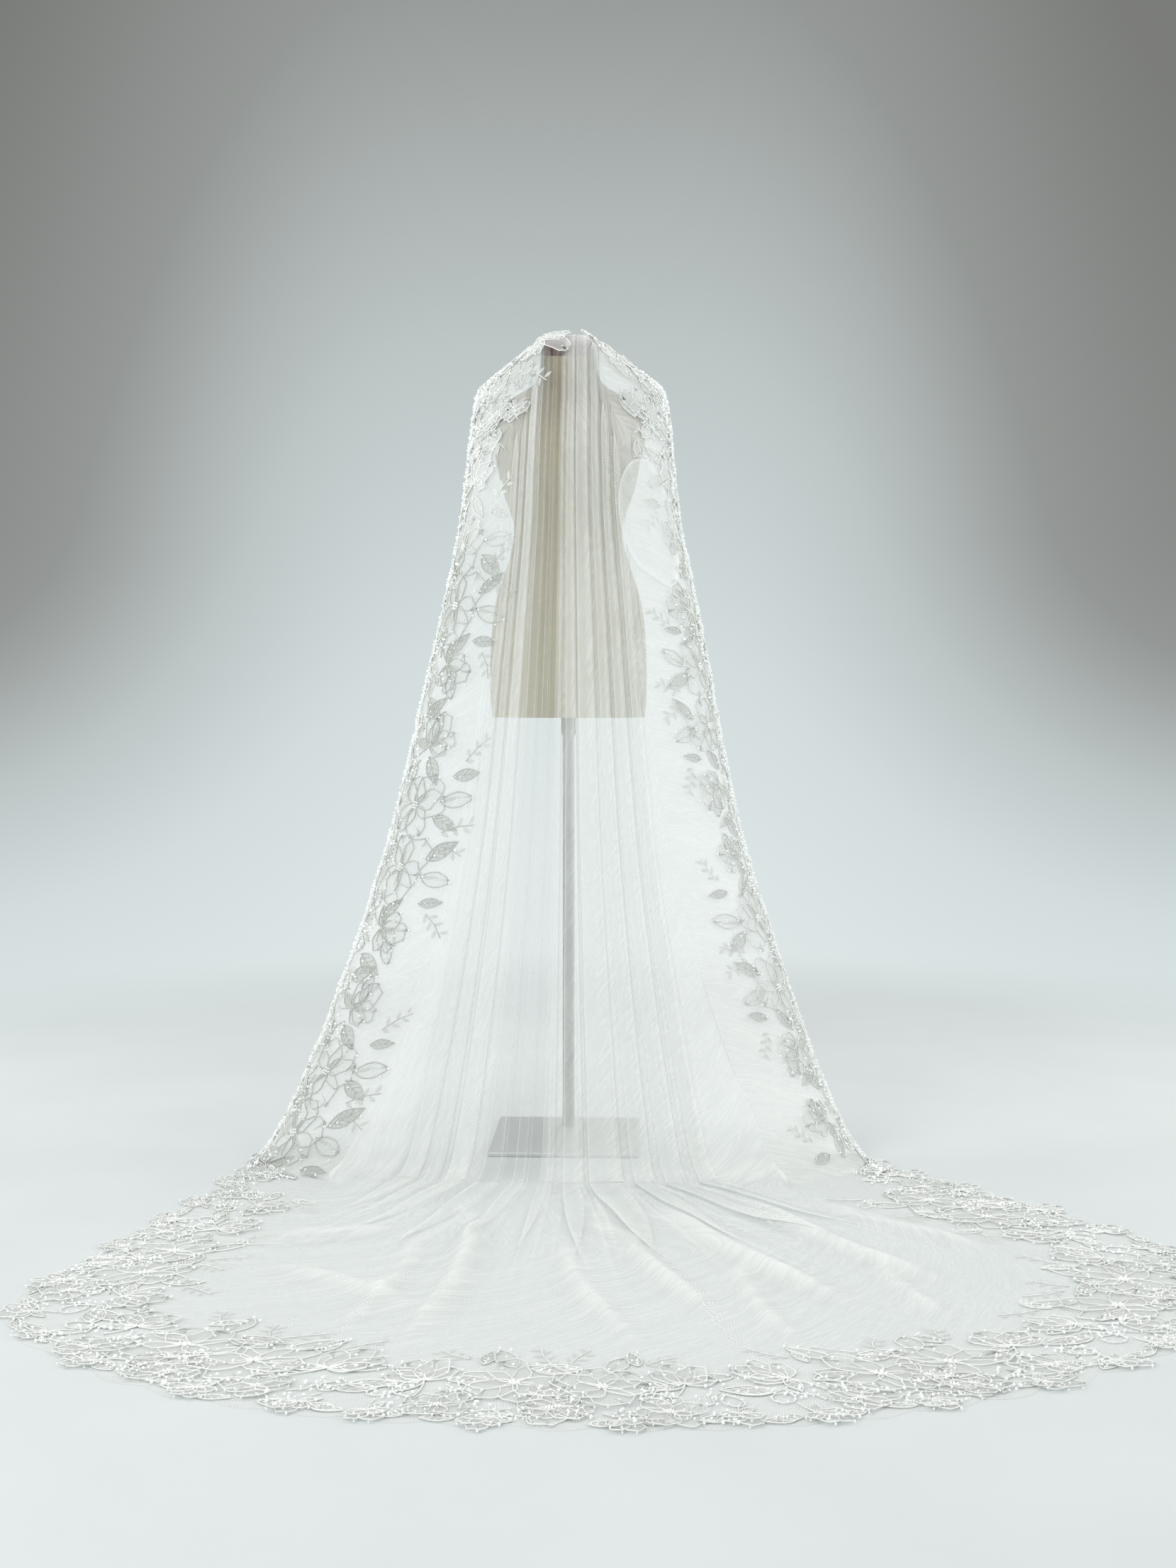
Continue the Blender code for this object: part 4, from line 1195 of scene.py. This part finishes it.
def fillMaterial(name, alpha, colour, whitened):
    made, graph, shader = newMaterial(name, Roughness=0.45, Sheen_Weight=0.3, Specular_IOR_Level=0.4)
    uv = graph.add("TexCoord", output=2)
    white = graph.add("Attribute", {"attribute_name": "white"}, output=2)
    stitches = graph.add("TexWave", {"wave_type": "BANDS", "bands_direction": "DIAGONAL"},
                         {"Vector": uv, "Scale": 420.0, "Distortion": 1.5})
    cloud = graph.noise(uv, 90.0)
    tint = graph.blend(cloud, colour, [c * 0.86 for c in colour])
    # partly painted shade: the fill keeps its darker tint towards the inner groups and is whitened where the mask is
    # high
    graph.feed(shader.inputs["Base Color"], graph.blend(white * whitened, tint, (0.93, 0.945, 0.925)))
    graph.feed(shader.inputs["Alpha"], (alpha + white * 0.12) * (0.7 + 0.6 * stitches))
    bump = graph.add("Bump", None, {"Strength": 0.5, "Distance": 0.0005, "Height": stitches})
    graph.feed(shader.inputs["Normal"], bump)
    return made


def threadMaterial():
    made, graph, shader = newMaterial("satin cord", Roughness=0.38, Sheen_Weight=0.3, Specular_IOR_Level=0.6)
    place = graph.add("TexCoord", output=3)
    strands = graph.noise(place, 1500.0, 1.0)
    white = graph.add("Attribute", {"attribute_name": "white"}, output=2)
    # painted shade: a lit and a shaded copy of the cord colour, picked by the white mask, shaded towards the inner
    # groups
    litCordColour = graph.blend(strands, (0.92, 0.935, 0.915), (0.82, 0.835, 0.81))
    shadedCordColour = graph.blend(strands, (0.62, 0.635, 0.595), (0.52, 0.53, 0.495))
    graph.feed(shader.inputs["Base Color"], graph.blend(white, shadedCordColour, litCordColour))
    bump = graph.add("Bump", None, {"Strength": 0.4, "Distance": 0.0003, "Height": strands})
    graph.feed(shader.inputs["Normal"], bump)
    return made


def beadMaterial():
    # painted glints: a faint white emission makes the beads glow a little, though they are no lamp
    made, graph, shader = newMaterial(
        "pearl bead", Roughness=0.10, Coat_Weight=1.0, Coat_Roughness=0.03, Emission_Strength=0.10)
    tint = graph.noise(graph.add("TexCoord", output=3), 260.0, 1.0)
    graph.feed(shader.inputs["Base Color"], graph.ramp(tint, [(0.35, (0.93, 0.93, 0.90)), (0.65, (0.84, 0.90, 0.90))]))
    return made


# the greyer leaf fill is partly painted shade
laceMaterials = [
    fillMaterial("sheer petal", 0.16, (0.80, 0.83, 0.80), 0.9),
    fillMaterial("stitched leaf", 0.34, (0.58, 0.60, 0.555), 0.55),
    threadMaterial(),
    beadMaterial(),
]


def shoulderStamps(start, end):
    chance = random.Random(5)
    placed = []
    distance = min(start, end) + 0.01
    while distance < max(start, end):
        width = veilBorder.width(distance)
        inward = 0.07
        while inward < width + 0.01:
            kind = chance.choice(["open", "side", "leaf", "leaf", "bud", "beads"])
            placed.append(Stamp(kind, distance + chance.uniform(-0.02, 0.02), inward, chance.uniform(0, 360), 0.85))
            inward += 0.050
        distance += 0.060
    return placed


def edgeBeads(start, end, step):
    chance = random.Random(9)
    count = round(abs(end - start) / step)
    return [Stamp("glints", start + (end - start) * (place + chance.random()) / count,
                  chance.uniform(0.006, 0.070), chance.uniform(-25, 25), chance.uniform(0.9, 1.3))
            for place in range(count)]


shoulderRow = round(7 / border["rowStep"])
leftShoulder = veilBorder.travelled[shoulderRow]
rightShoulder = veilBorder.travelled[len(borderLines) - 1 - shoulderRow]
laceLeft = stampAll("laceMotifsLeft", 0.0, hemStart,
                    shoulderStamps(0, leftShoulder) + edgeBeads(0.06, hemStart, 0.045), laceMaterials)
laceHem = stampAll("laceMotifsHem", hemStart, hemEnd, [], laceMaterials)
laceRight = stampAll("laceMotifsRight", hemEnd, veilBorder.length,
                     shoulderStamps(rightShoulder, veilBorder.length)
                     + edgeBeads(hemEnd, veilBorder.length - 0.06, 0.036), laceMaterials)

# Petals of the border that were folded over the front of the cap: flat chart, x to the right, y down
capPetals = {
    "reach": 0.19,
    "rowLength": 0.043,
    "topRow": 2.0,
    "lift": 0.0065,
    "base": (-0.050, 0.060),
    # direction, length, width and curl of each
    "petals": [(0.56, 0.072, 0.036, 0.005), (-0.42, 0.066, 0.034, 0.003), (0.06, 0.050, 0.022, 0.002),
               (2.55, 0.052, 0.030, 0.002), (1.75, 0.040, 0.022, 0.001), (-1.6, 0.034, 0.022, 0.002)],
}


def capPoint(flat):
    angle = degrees(asin(flat.x / capPetals["reach"]))
    row = capPetals["topRow"] + flat.y / capPetals["rowLength"]
    return drape(angle, row) + outward(angle, row) * (capPetals["lift"] + flat.z)


def makeCapPetals():
    chance = random.Random(21)
    motif = Motif()
    for turn, length, width, curl in capPetals["petals"]:
        motif.petal(capPetals["base"], turn, length, width, 0.08, 0.75, curl=curl)
        for share in (0.5, 0.7, 0.88):
            side = turn + chance.uniform(-0.2, 0.2)
            x, y = capPetals["base"]
            motif.bead((x + length * share * cos(side), y + length * share * sin(side)), 0.0016)
    shape = bmesh.new()
    shape.from_mesh(motif.finished("capPetals"))
    floatLayer(shape, "white", lambda vertex: 1.6)
    for vertex in shape.verts:
        vertex.co = capPoint(vertex.co)
    bmesh.ops.recalc_face_normals(shape, faces=shape.faces)
    made = addPiece("laceCapPetals", shape, laceMaterials)
    return made


petalsOnCap = makeCapPetals()

# A loop of plain net that hangs over the right of the body: middle, reach and wave in degrees and rows
sheerFold = {
    "angle": 47.0,
    "row": 8.75,
    "reachAngle": 18.0,
    "reachRow": 0.95,
    "wave": 0.12,
    "lift": 0.007,
    "rings": 14,
    "sides": 80,
    "layers": 1.9,
    "rim": 0.9,               # the share of the reach where the turned edge begins
}


def makeSheerFold(material):
    rings, sides = sheerFold["rings"], sheerFold["sides"]
    columns = []
    for side in range(sides + 1):
        turn = tau * side / sides
        reach = 1 + sheerFold["wave"] * sin(2 * turn + 0.7) + 0.5 * sheerFold["wave"] * sin(3 * turn)
        column = []
        for ring in range(rings + 1):
            share = reach * (0.01 + 0.99 * ring / rings)
            angle = sheerFold["angle"] + sheerFold["reachAngle"] * share * cos(turn)
            row = sheerFold["row"] + sheerFold["reachRow"] * share * sin(turn)
            column.append(drape(angle, row) + outward(angle, row) * sheerFold["lift"] * (0.6 + 0.4 * ring / rings))
        columns.append(column)
    shape, places = gridShape(columns)
    floatLayer(shape, "turn", lambda vertex: ramp(places[vertex.index][1] / rings, sheerFold["rim"], 1.0))
    floatLayer(shape, "layers", lambda vertex: sheerFold["layers"])
    made = addPiece("sheerFold", shape, [material])
    return made


foldedNet = makeSheerFold(tulleMaterial)
for piece in (laceLeft, laceHem, laceRight, petalsOnCap):
    piece.data.calc_loop_triangles()
    print(piece.name, len(piece.data.loop_triangles), "triangles")

# The stand: torso in linen, turned cap, steel pole and plate
form = {
    "power": 2.3,
    "sides": 96,
    "rings": 120,
    "sections": [
        (0.843, 0.156, 0.108, 0.118, 0), (0.900, 0.160, 0.112, 0.124, 0), (1.000, 0.158, 0.108, 0.120, 0),
        (1.080, 0.148, 0.102, 0.106, 0), (1.150, 0.126, 0.096, 0.088, 0), (1.214, 0.110, 0.092, 0.080, 0),
        (1.260, 0.118, 0.104, 0.084, 0), (1.310, 0.136, 0.122, 0.094, 0), (1.360, 0.146, 0.126, 0.102, 0),
        (1.410, 0.157, 0.106, 0.108, 0), (1.450, 0.170, 0.080, 0.104, 0), (1.475, 0.146, 0.066, 0.094, 0),
        (1.500, 0.106, 0.059, 0.078, 0), (1.520, 0.075, 0.056, 0.064, 5), (1.545, 0.060, 0.054, 0.056, 10),
        (1.586, 0.056, 0.056, 0.056, 15),
    ],
}


def formPoint(heightPlace, turn):
    z, half, front, back, tilt = (smooth([section[k] for section in form["sections"]], heightPlace) for k in range(5))
    across, deep = cos(turn), sin(turn)
    depth = back if deep > 0 else front
    flat = Vector((
        half * copysign(abs(across) ** (2 / form["power"]), across),
        depth * copysign(abs(deep) ** (2 / form["power"]), deep),
        0.0,
    ))
    return Matrix.Rotation(radians(tilt), 3, "X") @ flat + Vector((0, 0, z))


def linenMaterial():
    made, graph, shader = newMaterial("linen", Roughness=0.85, Sheen_Weight=0.15, Specular_IOR_Level=0.2)
    uv = graph.add("TexCoord", output=2)
    x, y = graph.separated(uv)[:2]
    warp = graph.maths("SINE", x * 4200.0, 0)
    weft = graph.maths("SINE", y * 4200.0, 0)
    slub = graph.noise(graph.stretched(uv, (40.0, 260.0, 1.0)), 1.0, 4.0)
    weave = warp * weft * 0.5 + 0.5
    threads = slub * 0.7 + weave * 0.3
    height = graph.separated(graph.add("TexCoord", output=3))[2]
    paintedNeckShade = graph.ramp(height - 0.6, [(0.50, (0, 0, 0)), (0.90, (1, 1, 1))])    # painted shade: darker and browner towards the neck, for the shade of the gathered net over the shoulders; the high colours are the shaded copy
    low = graph.blend(threads, (0.43, 0.39, 0.285), (0.57, 0.525, 0.405))
    high = graph.blend(threads, (0.23, 0.19, 0.115), (0.34, 0.29, 0.185))
    graph.feed(shader.inputs["Base Color"], graph.blend(paintedNeckShade, low, high))
    bump = graph.add("Bump", None, {"Strength": 0.5, "Distance": 0.0006, "Height": weave * 0.6 + slub * 0.4})
    graph.feed(shader.inputs["Normal"], bump)
    return made


def makeTorso(material):
    columns = []
    for side in range(form["sides"] + 1):
        turn = tau * (side % form["sides"]) / form["sides"]
        last = len(form["sections"]) - 1
        places = [last * (1 - ring / form["rings"]) for ring in range(form["rings"] + 1)]
        columns.append([formPoint(place, turn) for place in places])
    shape, _ = gridShape(columns)
    bmesh.ops.remove_doubles(shape, verts=shape.verts, dist=0.00002)
    rims = [edge for edge in shape.edges if edge.is_boundary]
    bmesh.ops.holes_fill(shape, edges=rims, sides=0)
    bmesh.ops.recalc_face_normals(shape, faces=shape.faces)
    made = addPiece("formTorso", shape, [material])
    made.data.set_sharp_from_angle(angle=radians(50))
    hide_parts("torso")
    return made


makeTorso(linenMaterial())


def woodMaterial():
    made, graph, shader = newMaterial("turned wood", Coat_Weight=0.3, Coat_Roughness=0.2)
    place = graph.add("TexCoord", output=3)
    grain = graph.noise(graph.stretched(place, (30.0, 300.0, 90.0)), 1.0, 5.0)
    graph.feed(shader.inputs["Base Color"], graph.ramp(grain, [(0.3, (0.035, 0.012, 0.008)), (0.7, (0.15, 0.055, 0.032))]))
    graph.feed(shader.inputs["Roughness"], grain * 0.3 + 0.3)
    return made


def steelMaterial(name, colour, roughness, scale):
    made, graph, shader = newMaterial(name, Metallic=1.0)
    place = graph.add("TexCoord", output=3)
    brush = graph.noise(graph.stretched(place, scale), 1.0, 3.0)
    graph.feed(shader.inputs["Base Color"], graph.blend(brush, colour, [c * 0.85 for c in colour]))
    graph.feed(shader.inputs["Roughness"], brush * 0.16 + roughness)
    bump = graph.add("Bump", None, {"Strength": 0.15, "Distance": 0.0002, "Height": brush})
    graph.feed(shader.inputs["Normal"], bump)
    return made


stand = {
    "capRadius": 0.055,
    "capHeight": 0.0345,
    "capPower": 2.6,
    "capPlace": (0.0, -0.00008, 1.5863),
    "tilt": 15.0,
    "poleRadius": 0.01175,
    "poleBottom": 0.0083,
    "poleTop": 0.8427,
    "sleeveRadius": 0.0145,
    "sleeveLength": 0.036,
    "plateSize": 0.290,
    "plateThickness": 0.008,
    "plateEdge": 0.0015,
    "plateY": -0.074,
    "sides": 72,
}


def turned(name, profile, node, material, slot, place=None):
    shape = bmesh.new()
    points = [shape.verts.new((radius, 0, height)) for radius, height in profile]
    edges = [shape.edges.new(pair) for pair in zip(points, points[1:])]
    bmesh.ops.spin(shape, geom=points + edges, cent=(0, 0, 0), axis=(0, 0, 1), angle=tau,
                   steps=stand["sides"], use_merge=True)
    bmesh.ops.remove_doubles(shape, verts=shape.verts, dist=0.00002)
    bmesh.ops.recalc_face_normals(shape, faces=shape.faces)
    if place:
        bmesh.ops.transform(shape, matrix=place, verts=shape.verts)
    made = addPiece(name, shape, [material])
    made.data.set_sharp_from_angle(angle=radians(35))
    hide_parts(node)


def makeCap(material):
    profile = []
    for step in range(25):
        turn = pi / 2 * step / 24
        wide, high = sin(turn) ** (2 / stand["capPower"]), max(cos(turn), 0.0) ** (2 / stand["capPower"])
        profile.append((stand["capRadius"] * wide, stand["capHeight"] * high))
    place = Matrix.Translation(stand["capPlace"]) @ Matrix.Rotation(radians(stand["tilt"]), 4, "X")
    turned("turnedCap", profile + [(0.0, 0.0)], "neck_cap", material, "wood", place)


def makePole(material):
    radius, low, high = stand["poleRadius"], stand["poleBottom"], stand["poleTop"]
    turned("standPole", [(0, low), (radius, low), (radius, high), (0, high)], "pole", material, "steel")
    outer, inner, base = stand["sleeveRadius"], radius + 0.0003, high - stand["sleeveLength"]
    ring = [(inner, base), (outer - 0.001, base), (outer, base + 0.001), (outer, high), (inner, high), (inner, base)]
    turned("standSleeve", ring, "pole_sleeve", material, "steel")


def makePlate(material):
    shape = bmesh.new()
    size, thick = stand["plateSize"], stand["plateThickness"]
    place = Matrix.Translation((0, stand["plateY"], thick / 2)) @ Matrix.Diagonal((size, size, thick, 1))
    bmesh.ops.create_cube(shape, size=1.0, matrix=place)
    bmesh.ops.bevel(shape, geom=shape.edges, offset=stand["plateEdge"], segments=4, affect="EDGES", profile=0.5)
    made = addPiece("standPlate", shape, [material])
    made.data.set_sharp_from_angle(angle=radians(35))
    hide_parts("base_plate")


makeCap(woodMaterial())
makePole(steelMaterial("brushed pole steel", (0.25, 0.258, 0.252), 0.34, (900.0, 900.0, 6.0)))
makePlate(steelMaterial("satin plate steel", (0.74, 0.76, 0.755), 0.40, (6.0, 900.0, 900.0)))
for slot in bpy.data.objects["lace_cap"].material_slots:
    slot.material = laceMaterials[0]
print("stand ready")

# Cuts of what shows, in metres
for piece in (veilTulle, netLeft, netHem, netRight):
    print(piece.name, "area", round(sum(face.area for face in piece.data.polygons), 3))
